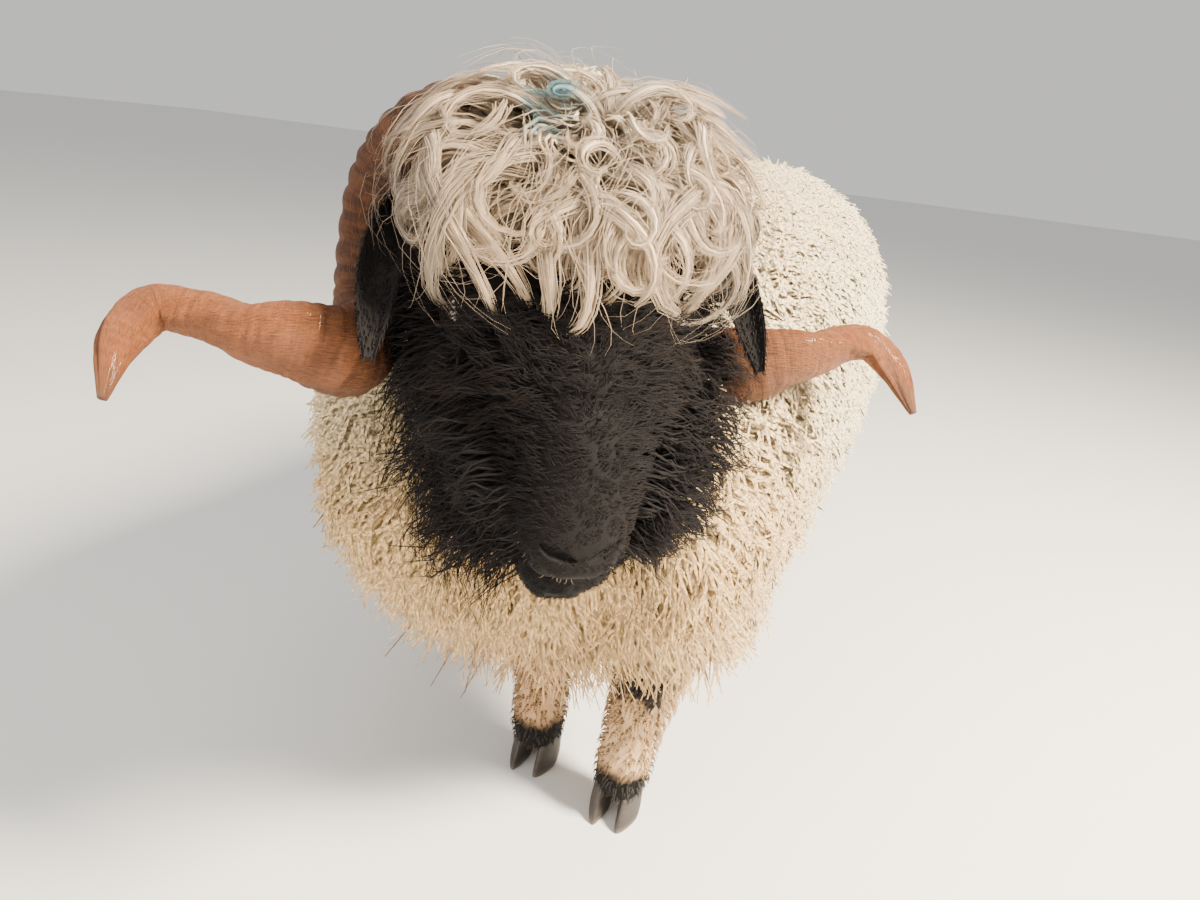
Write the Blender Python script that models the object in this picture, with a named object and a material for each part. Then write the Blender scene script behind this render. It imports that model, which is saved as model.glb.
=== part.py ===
"""A Valais blacknose ram, life size, standing with its head lowered and turned to its left.

Metres, +Z up. The ram faces -Y, and its left side is +X. The origin is on the floor, under the middle of
the ram's bounding box.
"""

import math
import random

import bmesh
import bpy
from mathutils import Matrix, Vector

GAP = 0.0003  # between nodes that touch
SHIFT = Vector((0.0152, 0.0527, 0.0))  # carries the ram's own frame to the middle of its box

# The trunk: the centre of each section, its half width, and its reach up and down, to the tips of the fleece.
TRUNK = (
    ((-0.050, -0.458, 0.450), 0.115, 0.090, 0.120),
    ((-0.056, -0.428, 0.472), 0.198, 0.160, 0.192),
    ((-0.054, -0.360, 0.508), 0.246, 0.222, 0.238),
    ((-0.044, -0.250, 0.540), 0.270, 0.260, 0.258),
    ((-0.030, -0.120, 0.553), 0.270, 0.258, 0.264),
    ((-0.016, 0.040, 0.562), 0.262, 0.244, 0.254),
    ((-0.010, 0.200, 0.568), 0.256, 0.242, 0.240),
    ((-0.006, 0.320, 0.572), 0.246, 0.240, 0.228),
    ((-0.004, 0.415, 0.572), 0.222, 0.224, 0.205),
    ((-0.004, 0.480, 0.572), 0.178, 0.185, 0.172),
    ((-0.004, 0.520, 0.575), 0.105, 0.115, 0.115),
)
TRUNK_SQUARENESS = 2.2
FLEECE_SINK = 0.024  # the fleece's clumps stand on a body this far under their tips
CLUMP = (0.096, 0.080, 0.046)  # half length along the coat's lie, half width, half depth
CLUMP_SPACING = 0.146

# The neck runs from inside the shoulders to the back of the skull: centre, half width, up, down.
NECK = (
    ((-0.034, -0.120, 0.600), 0.225, 0.185, 0.240),
    ((-0.038, -0.230, 0.625), 0.212, 0.178, 0.230),
    ((-0.046, -0.330, 0.668), 0.176, 0.148, 0.190),
    ((-0.050, -0.410, 0.710), 0.136, 0.112, 0.142),
    ((-0.034, -0.475, 0.750), 0.100, 0.070, 0.090),
)

# Leg sections: centre x from the mid-plane, y, z, half width, back half and front half.
FORELEG = (
    (0.120, -0.200, 0.460, 0.090, 0.100, 0.095),
    (0.108, -0.215, 0.380, 0.085, 0.090, 0.085),
    (0.096, -0.225, 0.300, 0.072, 0.074, 0.072),
    (0.088, -0.228, 0.240, 0.058, 0.058, 0.060),
    (0.083, -0.226, 0.170, 0.048, 0.049, 0.049),
    (0.080, -0.226, 0.110, 0.044, 0.046, 0.045),
    (0.080, -0.230, 0.070, 0.046, 0.046, 0.050),
    (0.080, -0.232, 0.034, 0.038, 0.040, 0.044),
)
HINDLEG = (
    (0.125, 0.310, 0.520, 0.112, 0.140, 0.150),
    (0.128, 0.335, 0.420, 0.100, 0.120, 0.118),
    (0.126, 0.372, 0.335, 0.076, 0.086, 0.082),
    (0.120, 0.402, 0.265, 0.056, 0.062, 0.060),
    (0.116, 0.400, 0.190, 0.047, 0.049, 0.048),
    (0.114, 0.388, 0.115, 0.044, 0.046, 0.045),
    (0.114, 0.380, 0.070, 0.046, 0.046, 0.050),
    (0.114, 0.376, 0.034, 0.038, 0.040, 0.044),
)
LEG_ROOM = 0.003  # between a leg and the fleece that hangs round it
FORELEG_TOP = 0.272
HINDLEG_TOP = 0.345
STRIDE = {("fore", 1): -0.020, ("fore", -1): 0.025, ("hind", 1): 0.020, ("hind", -1): -0.040}
STRADDLE = {("fore", 1): -0.026, ("fore", -1): 0.004, ("hind", 1): 0.0, ("hind", -1): 0.0}
HOOF_HEIGHT = 0.045

TAIL = (
    ((0.000, 0.470, 0.690), 0.040, 0.040, 0.040),
    ((0.000, 0.530, 0.670), 0.044, 0.038, 0.038),
    ((0.000, 0.570, 0.600), 0.050, 0.036, 0.034),
    ((0.000, 0.585, 0.500), 0.052, 0.034, 0.034),
    ((0.000, 0.580, 0.400), 0.044, 0.030, 0.030),
    ((0.000, 0.572, 0.330), 0.014, 0.012, 0.012),
)

DOCK, DOCK_LIE = Vector((0.0, 0.535, 0.668)), Vector((0.0, 0.75, -0.66)).normalized()  # where the tail starts
TAIL_TUFT, TAIL_SPACING, TAIL_SINK = (0.050, 0.034, 0.018), 0.160, 0.010

# The head's own frame: the poll is its origin, the nose points along -Y and the forehead faces +Z.
POLL = Vector((-0.006, -0.481, 0.790))
HEAD_YAW, HEAD_PITCH = 37.5, 55.0  # degrees: to its left, and nose down
SKULL = (
    ((0.0, 0.055, -0.030), 0.046, 0.040, 0.040),
    ((0.0, 0.030, -0.035), 0.070, 0.070, 0.060),
    ((0.0, -0.015, -0.035), 0.084, 0.087, 0.085),
    ((0.0, -0.065, -0.040), 0.092, 0.097, 0.092),
    ((0.0, -0.110, -0.045), 0.093, 0.097, 0.090),
    ((0.0, -0.155, -0.050), 0.084, 0.092, 0.082),
    ((0.0, -0.195, -0.050), 0.068, 0.084, 0.070),
    ((0.0, -0.225, -0.045), 0.057, 0.072, 0.060),
    ((0.0, -0.255, -0.040), 0.050, 0.054, 0.048),
    ((0.0, -0.280, -0.036), 0.045, 0.036, 0.038),
    ((0.0, -0.300, -0.034), 0.037, 0.022, 0.027),
    ((0.0, -0.312, -0.033), 0.020, 0.011, 0.014),
)
JAW_WOOL = (
    ((0.006, 0.020, -0.078), 0.080, 0.050, 0.050),
    ((0.016, -0.050, -0.082), 0.120, 0.060, 0.064),
    ((0.022, -0.120, -0.088), 0.142, 0.064, 0.066),
    ((0.024, -0.190, -0.094), 0.146, 0.060, 0.060),
    ((0.020, -0.240, -0.097), 0.132, 0.050, 0.052),
    ((0.011, -0.278, -0.097), 0.100, 0.036, 0.040),
    ((0.002, -0.306, -0.096), 0.056, 0.022, 0.026),
    ((0.000, -0.320, -0.095), 0.022, 0.009, 0.011),
)

EYE_RADIUS = 0.0145
EYE_STATION, EYE_ANGLE, EYE_STANDS = 4.15, 22.0, 0.004
LID_LENGTH, LID_HEIGHT, LID_THICKNESS = 0.0185, 0.0150, 0.0050
# Stations and angles on the skull, and half widths, of a nostril and of the line of the mouth.
NOSTRIL = ((10.30, 80.0, 0.0026), (10.05, 64.0, 0.0056), (9.75, 48.0, 0.0056), (9.45, 37.0, 0.0022))
MOUTH = ((8.0, -16.0), (8.6, -24.0), (9.2, -32.0), (9.8, -42.0), (10.4, -58.0), (10.75, -90.0))
MOUTH_HALF_WIDTH = 0.0026
LIPS = (((0.017, -0.288, -0.044), (0.021, 0.024, 0.013)), ((0.0, -0.276, -0.072), (0.027, 0.030, 0.017)))

# A horn's centre line in the head's frame, for the left one, with its radius and twist in degrees.
HORN = (
    ((0.030, 0.006, 0.002), 0.031, 0),
    ((0.060, 0.024, -0.006), 0.035, 0),
    ((0.092, 0.024, -0.032), 0.037, 5),
    ((0.116, 0.004, -0.070), 0.036, 10),
    ((0.128, -0.042, -0.102), 0.035, 20),
    ((0.136, -0.092, -0.108), 0.034, 35),
    ((0.146, -0.128, -0.084), 0.033, 55),
    ((0.166, -0.141, -0.054), 0.031, 80),
    ((0.194, -0.139, -0.041), 0.028, 100),
    ((0.222, -0.134, -0.042), 0.025, 125),
    ((0.251, -0.122, -0.042), 0.022, 155),
    ((0.280, -0.121, -0.040), 0.018, 185),
    ((0.298, -0.147, -0.035), 0.013, 215),
    ((0.303, -0.188, -0.026), 0.003, 240),
)
HORN_FLATNESS = 0.72

EAR = (
    ((0.068, -0.034, -0.030), 0.011, 0.010),
    ((0.096, -0.040, -0.012), 0.013, 0.012),
    ((0.120, -0.058, 0.000), 0.015, 0.012),
    ((0.134, -0.092, 0.004), 0.015, 0.011),
    ((0.140, -0.132, 0.006), 0.012, 0.009),
    ((0.144, -0.166, 0.004), 0.004, 0.004),
)
EAR_THICKNESS = 0.005

# The forelock: the ellipsoid that its tips reach, in the head's frame, and the locks that lie on it.
FORELOCK_CENTRE = Vector((0.010, -0.050, 0.022))
FORELOCK_REACH = Vector((0.140, 0.102, 0.080))
FORELOCK_SINK = 0.026
CROWN = Vector((0.0, 0.72, 0.70))  # the locks fall away from this direction
LOCK_LENGTH, LOCK_WIDTH, LOCK_THICKNESS = 0.095, 0.030, 0.013
LOCK_RINGS = ((14, 4), (42, 7), (70, 9), (102, 10))  # degrees from the crown, and how many start there

JAW_SINK = 0.018
CURL_LENGTH, CURL_WIDTH, CURL_THICKNESS = 0.078, 0.030, 0.011
CURL_ROWS, CURLS = (0.9, 2.3, 3.7), 6

MATERIALS = {
    "fleece": ((0.86, 0.78, 0.62), 0.9),
    "face_wool": ((0.020, 0.016, 0.015), 0.85),
    "leg_wool": ((0.62, 0.48, 0.34), 0.9),
    "forelock_wool": ((0.76, 0.64, 0.52), 0.8),
    "horn": ((0.42, 0.24, 0.14), 0.55),
    "eye": ((0.010, 0.006, 0.004), 0.08),
    "hoof": ((0.030, 0.025, 0.022), 0.5),
}


def material(name):
    """The material of that name, made the first time that it is asked for."""
    if name in bpy.data.materials:
        return bpy.data.materials[name]
    colour, roughness = MATERIALS[name]
    made = bpy.data.materials.new(name)
    made.use_nodes = True
    shader = made.node_tree.nodes["Principled BSDF"]
    shader.inputs["Base Color"].default_value = (*colour, 1.0)
    shader.inputs["Roughness"].default_value = roughness
    shader.inputs["Metallic"].default_value = 0.0
    return made


def spline(rows, u):
    """A smooth curve through equal rows of numbers, at u from 0 to their count less one."""
    i = min(max(int(u), 0), len(rows) - 2)
    t = u - i
    before, a, b, after = (rows[min(max(k, 0), len(rows) - 1)] for k in (i - 1, i, i + 1, i + 2))
    return [
        0.5 * (2 * q + (r - p) * t + (2 * p - 5 * q + 4 * r - s) * t * t + (3 * q - p - 3 * r + s) * t**3)
        for p, q, r, s in zip(before, a, b, after)
    ]


class Tube:
    """Oval sections along a smooth line: each row is a centre, a half width, and a reach up and down."""

    def __init__(self, rows, up, squareness=2.0):
        self.rows = [(*centre, *sizes) for centre, *sizes in rows]
        self.up = Vector(up)
        self.power = 2.0 / squareness
        self.last = len(rows) - 1

    def frame(self, u):
        """Centre, side and up vectors, half width, and reach up and down, at u."""
        x, y, z, width, top, bottom = spline(self.rows, u)
        step = 0.05
        ahead = Vector(spline(self.rows, min(u + step, self.last))[:3])
        behind = Vector(spline(self.rows, max(u - step, 0.0))[:3])
        along = (ahead - behind).normalized()
        side = along.cross(self.up).normalized()
        return Vector((x, y, z)), side, side.cross(along), width, top, bottom

    def point(self, u, angle):
        centre, side, up, width, top, bottom = self.frame(u)
        c, s = math.cos(angle), math.sin(angle)
        across = math.copysign(abs(c) ** self.power, c) * width
        rise = math.copysign(abs(s) ** self.power, s) * (top if s > 0 else bottom)
        return centre + side * across + up * rise

    def normal(self, u, angle):
        nudge = 0.02
        low, high = max(u - nudge, 0.0), min(u + nudge, self.last)
        along = self.point(high, angle) - self.point(low, angle)
        round_it = self.point(u, angle + nudge) - self.point(u, angle - nudge)
        out = round_it.cross(along).normalized()
        return out if out.dot(self.point(u, angle) - self.frame(u)[0]) > 0 else -out

    def holds(self, place, margin=0.0):
        """Whether a place is inside the tube, by at least the margin."""
        for k in range(6 * self.last + 1):
            centre, side, up, width, top, bottom = self.frame(k / 6)
            offset = place - centre
            if abs(offset.dot(side.cross(up))) > 0.03:
                continue
            rise = offset.dot(up)
            reach = (top if rise > 0 else bottom) - margin
            if width > margin and reach > 0:
                if abs(offset.dot(side) / (width - margin)) ** 2 + abs(rise / reach) ** 2 < 1.0:
                    return True
        return False

    def mesh(self, rings, sides):
        """A closed bmesh of the tube."""
        bm = bmesh.new()
        loops = []
        for k in range(rings + 1):
            u = self.last * k / rings
            loops.append([bm.verts.new(self.point(u, math.tau * j / sides)) for j in range(sides)])
        return close_loops(bm, loops)


def close_loops(bm, loops):
    """Joins rings of vertices with faces, closes both ends, and turns the faces out."""
    sides = len(loops[0])
    for one, two in zip(loops, loops[1:]):
        for j in range(sides):
            k = (j + 1) % sides
            bm.faces.new((one[j], one[k], two[k]))
            bm.faces.new((one[j], two[k], two[j]))
    bm.faces.new(loops[0][::-1])
    bm.faces.new(loops[-1])
    bmesh.ops.triangulate(bm, faces=bm.faces)
    bmesh.ops.recalc_face_normals(bm, faces=bm.faces)
    return bm


def piece(name, bm, finish="fleece"):
    """An object of that mesh, in the scene."""
    mesh = bpy.data.meshes.new(name)
    bm.to_mesh(mesh)
    bm.free()
    made = bpy.data.objects.new(name, mesh)
    made.data.materials.append(material(finish))
    bpy.context.scene.collection.objects.link(made)
    return made


def swollen(obj, by=1.6 * GAP):
    """A copy of the object that is larger all round, as a cutter that leaves a gap."""
    bm = bmesh_of(obj)
    bm.normal_update()
    places = [vertex.co + vertex.normal * by for vertex in bm.verts]
    for vertex, place in zip(bm.verts, places):
        vertex.co = place
    return piece("room", bm)


def bmesh_of(obj):
    bm = bmesh.new()
    bm.from_mesh(obj.data)
    return bm


def discard(obj):
    mesh = obj.data
    bpy.data.objects.remove(obj)
    bpy.data.meshes.remove(mesh)


def settle(obj):
    """Applies the object's modifiers."""
    graph = bpy.context.evaluated_depsgraph_get()
    mesh = bpy.data.meshes.new_from_object(obj.evaluated_get(graph))
    obj.modifiers.clear()
    old, obj.data = obj.data, mesh
    bpy.data.meshes.remove(old)


def keep_largest(obj):
    """Leaves only the largest closed surface of the object."""
    bm = bmesh_of(obj)
    bmesh.ops.triangulate(bm, faces=bm.faces)
    waiting = set(bm.verts)
    groups = []
    while waiting:
        group, edge = set(), [waiting.pop()]
        while edge:
            vertex = edge.pop()
            group.add(vertex)
            near = {e.other_vert(vertex) for e in vertex.link_edges} & waiting
            waiting -= near
            edge.extend(near)
        groups.append(group)
    sizes = [sum(face.calc_area() for face in {f for v in group for f in v.link_faces}) for group in groups]
    best = groups[sizes.index(max(sizes))]
    bmesh.ops.delete(bm, geom=[v for v in bm.verts if v not in best], context="VERTS")
    bm.to_mesh(obj.data)
    bm.free()


def fuse(obj, others):
    """Joins closed objects to this one, and removes them."""
    group = bpy.data.collections.new("joined")
    bpy.context.scene.collection.children.link(group)
    for other in others:
        group.objects.link(other)
    modifier = obj.modifiers.new("fuse", "BOOLEAN")
    modifier.operation = "UNION"
    modifier.operand_type = "COLLECTION"
    modifier.collection = group
    modifier.solver = "MANIFOLD"
    settle(obj)
    for other in others:
        discard(other)
    bpy.data.collections.remove(group)
    keep_largest(obj)


def cut(obj, others):
    """Cuts this object with others, one after another, and removes them."""
    for other in others:
        modifier = obj.modifiers.new("cut", "BOOLEAN")
        modifier.operation = "DIFFERENCE"
        modifier.object = other
        modifier.solver = "MANIFOLD"
        settle(obj)
        discard(other)
    keep_largest(obj)


def block(low, high):
    """A box between two corners, as a cutter."""
    bm = bmesh.new()
    bmesh.ops.create_cube(bm, size=1.0)
    low, high = Vector(low), Vector(high)
    bmesh.ops.scale(bm, vec=high - low, verts=bm.verts)
    bmesh.ops.translate(bm, vec=(low + high) / 2, verts=bm.verts)
    bmesh.ops.triangulate(bm, faces=bm.faces)
    return piece("block", bm)


def beyond(point, normal):
    """A large box that fills the side of a plane that its normal points to, as a cutter."""
    size = 3.0
    made = block((-size / 2, -size / 2, 0.0), (size / 2, size / 2, size))
    turn = Vector(normal).normalized().to_track_quat("Z", "Y").to_matrix().to_4x4()
    made.data.transform(Matrix.Translation(point) @ turn)
    return made


def head_matrix():
    """Carries the head's own frame to the ram's."""
    turn = (
        Matrix.Rotation(math.radians(HEAD_YAW), 4, "Z")
        @ Matrix.Rotation(math.radians(HEAD_PITCH), 4, "X")
    )
    return Matrix.Translation(POLL) @ turn


def mirrored(centre, side):
    return Vector((centre[0] * side, centre[1], centre[2]))


def clump_mesh(place, out, lie, size):
    """A rounded tuft whose top is at place and leans along its lie."""
    length, width, depth = size
    bm = bmesh.new()
    bmesh.ops.create_uvsphere(bm, u_segments=6, v_segments=4, radius=1.0)
    lie = (lie - out * lie.dot(out)).normalized()
    across = lie.cross(out)
    for vertex in bm.verts:
        x, y, z = vertex.co
        lean = 0.30 * length * (z + 1.0)
        narrow = 1.0 - 0.22 * y
        vertex.co = place + across * x * width * narrow + lie * (y * length + lean) + out * (z - 1.0) * depth
    bmesh.ops.triangulate(bm, faces=bm.faces)
    bmesh.ops.recalc_face_normals(bm, faces=bm.faces)
    return bm


def lock_mesh(path, outs, width, thickness):
    """A flat tapered lock along a path, with the way out at each of its points."""
    bm = bmesh.new()
    loops = []
    last = len(path) - 1
    for k, (place, out) in enumerate(zip(path, outs)):
        along = (path[min(k + 1, last)] - path[max(k - 1, 0)]).normalized()
        across = along.cross(out).normalized()
        up = across.cross(along)
        t = k / last
        swell = (0.62 + 0.38 * math.sin(math.pi * min(t * 1.6, 1.0))) * (1.0 - 0.80 * t**2.2)
        half, thick = width / 2 * swell, thickness / 2 * (1.0 - 0.55 * t)
        corners = ((1.0, 0.0), (0.0, 1.0), (-1.0, 0.0), (0.0, -1.0))
        loops.append([bm.verts.new(place + across * x * half + up * y * thick) for x, y in corners])
    return close_loops(bm, loops)


def horn_mesh(side, rings=34, sides=9):
    """One horn in the head's frame: an oval that twists along its line, with growth rings."""
    rows = [(*mirrored(centre, side), radius, twist * side) for centre, radius, twist in HORN]
    last = len(rows) - 1
    bm = bmesh.new()
    loops = []
    across = Vector((0.0, 0.0, 1.0))
    for k in range(rings + 1):
        u = last * k / rings
        x, y, z, radius, twist = spline(rows, u)
        ahead = Vector(spline(rows, min(u + 0.05, last))[:3])
        behind = Vector(spline(rows, max(u - 0.05, 0.0))[:3])
        along = (ahead - behind).normalized()
        across = (across - along * across.dot(along)).normalized()
        turn = Matrix.Rotation(math.radians(twist), 3, along)
        wide = turn @ across
        thin = turn @ along.cross(across)
        ridge = 0.0016 if k % 2 and 3 < k < rings - 3 else 0.0
        radius = max(radius, 0.003) + ridge
        loop = []
        for j in range(sides):
            angle = math.tau * j / sides
            keel = 1.0 + 0.10 * max(math.cos(angle), 0.0) ** 3
            offset = wide * math.cos(angle) * keel + thin * math.sin(angle) * HORN_FLATNESS
            loop.append(bm.verts.new(Vector((x, y, z)) + offset * radius))
        loops.append(loop)
    return close_loops(bm, loops)


def ear_mesh(side, rings=10, sides=10):
    """One ear in the head's frame: a leaf that is rolled at its root and cupped towards the face."""
    rows = [(*mirrored(centre, side), width, depth) for centre, width, depth in EAR]
    last = len(rows) - 1
    bm = bmesh.new()
    loops = []
    for k in range(rings + 1):
        u = last * k / rings
        x, y, z, width, depth = spline(rows, u)
        ahead = Vector(spline(rows, min(u + 0.05, last))[:3])
        behind = Vector(spline(rows, max(u - 0.05, 0.0))[:3])
        along = (ahead - behind).normalized()
        opens = (Vector((-side * 0.2, -0.35, 1.0)) - along * along.dot(Vector((-side * 0.2, -0.35, 1.0)))).normalized()
        wide = along.cross(opens)
        cupped = min(max((u - 0.6) / 1.2, 0.0), 1.0)
        loop = []
        for j in range(sides):
            angle = math.tau * j / sides
            back = math.sin(angle) >= 0
            hollow = (1 - cupped) * -depth + cupped * max(depth - EAR_THICKNESS, 0.0)
            reach = depth if back else hollow
            across = wide * math.cos(angle) * width
            loop.append(bm.verts.new(Vector((x, y, z)) + across - opens * abs(math.sin(angle)) * reach))
        loops.append(loop)
    return close_loops(bm, loops)


def eye_place(side):
    """Where an eyeball's centre is in the head's frame, and the way that it looks."""
    tube = Tube(SKULL, (0, 0, 1))
    angle = math.radians(EYE_ANGLE)
    angle = math.pi - angle if side > 0 else angle
    surface = tube.point(EYE_STATION, angle)
    out = tube.normal(EYE_STATION, angle)
    return surface - out * (EYE_RADIUS - EYE_STANDS), out


def ball(centre, radius, segments=12, rings=8):
    bm = bmesh.new()
    bmesh.ops.create_uvsphere(bm, u_segments=segments, v_segments=rings, radius=radius)
    bmesh.ops.translate(bm, vec=centre, verts=bm.verts)
    bmesh.ops.triangulate(bm, faces=bm.faces)
    return bm


def in_head(bm, name, finish):
    bm.transform(head_matrix())
    return piece(name, bm, finish)


def leg_tube(kind, side):
    """A leg whose foot is set forward or back, and whose root stays where it is."""
    rows = FORELEG if kind == "fore" else HINDLEG
    top = rows[0][2]
    placed = []
    for x, y, z, *sizes in rows:
        down = (top - z) / top
        placed.append(((x * side + STRADDLE[kind, side] * down, y + STRIDE[kind, side] * down, z), *sizes))
    return Tube(placed, (0, 1, 0))


def foot(kind, side):
    """The middle of a foot on the floor."""
    centre = leg_tube(kind, side).rows[-1]
    return Vector((centre[0], centre[1], 0.0))


LEGS = [
    (kind, side, top, f"{kind}leg_{word}")
    for kind, top in (("fore", FORELEG_TOP), ("hind", HINDLEG_TOP))
    for side, word in ((1, "left"), (-1, "right"))
]


def shrunk(bm, by):
    """Moves every vertex of a smooth closed mesh inwards."""
    bm.normal_update()
    places = [vertex.co - vertex.normal * by for vertex in bm.verts]
    for vertex, place in zip(bm.verts, places):
        vertex.co = place
    return bm


def clumps(tube, rng, spacing, size, skipped):
    """Rounded tufts set close all over a tube, except where skipped says so."""
    made = []
    length = 0.0
    here = Vector(tube.rows[0][:3])
    stations = []
    for k in range(1, 20 * tube.last + 1):
        there = tube.frame(k / 20)[0]
        length += (there - here).length
        here = there
        stations.append((length, k / 20))
    rows = max(int(length / spacing), 2)
    for row in range(rows + 1):
        u = min(stations, key=lambda s: abs(s[0] - (row + 0.25) / (rows + 0.5) * length))[1]
        _, _, _, width, top, bottom = tube.frame(u)
        around = math.pi * (width + (top + bottom) / 2)
        count = max(int(around / (spacing * 1.02)), 3)
        for k in range(count):
            angle = math.tau * (k + 0.5 * (row % 2) + rng.uniform(-0.18, 0.18)) / count
            at = min(max(u + rng.uniform(-0.12, 0.12), 0.0), tube.last)
            place, out = tube.point(at, angle), tube.normal(at, angle)
            if skipped(place):
                continue
            lie = Vector((0.0, 0.55, -0.9)) + Vector([rng.uniform(-0.45, 0.45) for _ in range(3)])
            scale = rng.uniform(0.88, 1.12)
            low = rng.uniform(0.0, 0.006)
            made.append(piece("clump", clump_mesh(place - out * low, out, lie, [v * scale for v in size])))
    return made


def build_body():
    """The trunk with its neck and the roots of its legs, in one piece, under a coat of clumps."""
    rng = random.Random(7)
    trunk_tube, neck_tube = Tube(TRUNK, (0, 0, 1), TRUNK_SQUARENESS), Tube(NECK, (0, 0, 1))
    body = piece("torso", shrunk(trunk_tube.mesh(12, 14), FLEECE_SINK))
    limbs = [piece("neck", shrunk(neck_tube.mesh(8, 12), FLEECE_SINK))]
    dock = piece("dock", Tube(TAIL, (0, 1, 0.2)).mesh(12, 10))
    cut(dock, [beyond(DOCK, DOCK_LIE)])
    limbs.append(dock)
    sleeves = []
    for kind, side, top, _ in LEGS:
        limb = piece("stump", leg_tube(kind, side).mesh(12, 12))
        sleeve = swollen(limb, LEG_ROOM)
        cut(limb, [beyond((0, 0, top - 0.02), (0, 0, -1))])
        cut(sleeve, [beyond((0, 0, top + GAP), (0, 0, 1))])
        limbs.append(limb)
        sleeves.append(sleeve)
    tops = [(foot(kind, side), top) for kind, side, top, _ in LEGS]

    def under_trunk(place):
        """Over a leg, or too low over the legs' level."""
        return neck_tube.holds(place, 0.01) or any(
            (place - spot).xy.length < 0.085 and place.z < top + 0.06 for spot, top in tops
        )

    def off_neck(place):
        return trunk_tube.holds(place, 0.01) or place.y < -0.47

    limbs += clumps(trunk_tube, rng, CLUMP_SPACING, CLUMP, under_trunk)
    limbs += clumps(neck_tube, rng, CLUMP_SPACING * 0.9, [0.85 * v for v in CLUMP], off_neck)
    fuse(body, limbs)
    cut(body, sleeves)
    return body


def build_legs():
    legs = []
    for kind, side, top, name in LEGS:
        leg = piece(name, leg_tube(kind, side).mesh(12, 12), "leg_wool")
        cut(leg, [beyond((0, 0, top), (0, 0, 1)), beyond((0, 0, HOOF_HEIGHT + GAP), (0, 0, -1))])
        legs.append(leg)
    return legs


def hoof_mesh(inner):
    """One claw, with its toe towards -Y and its sole flat on the floor."""
    sections = (
        (0.000, 0.0165, 0.0350, -0.006),
        (0.012, 0.0170, 0.0340, -0.003),
        (HOOF_HEIGHT, 0.0155, 0.0270, 0.004),
    )
    sides = 12
    bm = bmesh.new()
    loops = []
    for z, width, length, shift in sections:
        loop = []
        for j in range(sides):
            angle = math.tau * j / sides
            x, y = math.cos(angle), math.sin(angle)
            toe = 1.0 - 0.35 * max(-y, 0.0)
            flat = 0.55 if x * inner > 0 else 1.0
            loop.append(bm.verts.new((x * width * toe * flat, y * length + shift, z)))
        loops.append(loop)
    return close_loops(bm, loops)


def build_hooves():
    hooves = []
    for kind, side, _, _ in LEGS:
        word = "left" if side > 0 else "right"
        for inner, claw in ((side, "outer"), (-side, "inner")):
            made = piece(f"hoof_{kind}_{word}_{claw}", hoof_mesh(-inner), "hoof")
            place = foot(kind, side) + Vector((inner * 0.0155, 0.0, 0.0))
            made.data.transform(Matrix.Translation(place))
            hooves.append(made)
    return hooves


def skull():
    return in_head(Tube(SKULL, (0, 0, 1)).mesh(20, 16), "head", "face_wool")


def jaw_tips():
    return in_head(Tube(JAW_WOOL, (0, 0, 1)).mesh(14, 18), "jaw", "face_wool")


def sweep_mesh(path, radii, sides=5):
    """A round tube along a path, with a radius for each of its points."""
    bm = bmesh.new()
    loops = []
    last = len(path) - 1
    across = Vector((0.31, 0.22, 0.93))
    for k, (place, radius) in enumerate(zip(path, radii)):
        along = (path[min(k + 1, last)] - path[max(k - 1, 0)]).normalized()
        across = (across - along * across.dot(along)).normalized()
        up = along.cross(across)
        turns = [math.tau * j / sides for j in range(sides)]
        loops.append([bm.verts.new(place + (across * math.cos(t) + up * math.sin(t)) * radius) for t in turns])
    return close_loops(bm, loops)


def lid_mesh(side):
    """The folds round an eye, as one oval ring that is thickest above."""
    tube = Tube(SKULL, (0, 0, 1))
    angle = math.radians(EYE_ANGLE)
    angle = math.pi - angle if side > 0 else angle
    middle, out = tube.point(EYE_STATION, angle), tube.normal(EYE_STATION, angle)
    long_way = Vector((0.0, 1.0, 0.0))
    long_way = (long_way - out * long_way.dot(out)).normalized()
    high_way = long_way.cross(out)
    high_way *= 1.0 if high_way.z > 0 else -1.0
    bm = bmesh.new()
    loops = []
    steps, sides = 12, 5
    for k in range(steps):
        turn = math.tau * k / steps
        spoke = long_way * math.cos(turn) * LID_LENGTH + high_way * math.sin(turn) * LID_HEIGHT
        ray = spoke.normalized()
        thick = LID_THICKNESS * (1.0 + 0.35 * max(math.sin(turn), 0.0))
        loop = []
        for j in range(sides):
            roll = math.tau * j / sides
            loop.append(bm.verts.new(middle + spoke + (ray * math.cos(roll) + out * math.sin(roll)) * thick))
        loops.append(loop)
    for one, two in zip(loops, loops[1:] + loops[:1]):
        for j in range(sides):
            k = (j + 1) % sides
            bm.faces.new((one[j], one[k], two[k]))
            bm.faces.new((one[j], two[k], two[j]))
    bmesh.ops.recalc_face_normals(bm, faces=bm.faces)
    return bm


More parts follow.
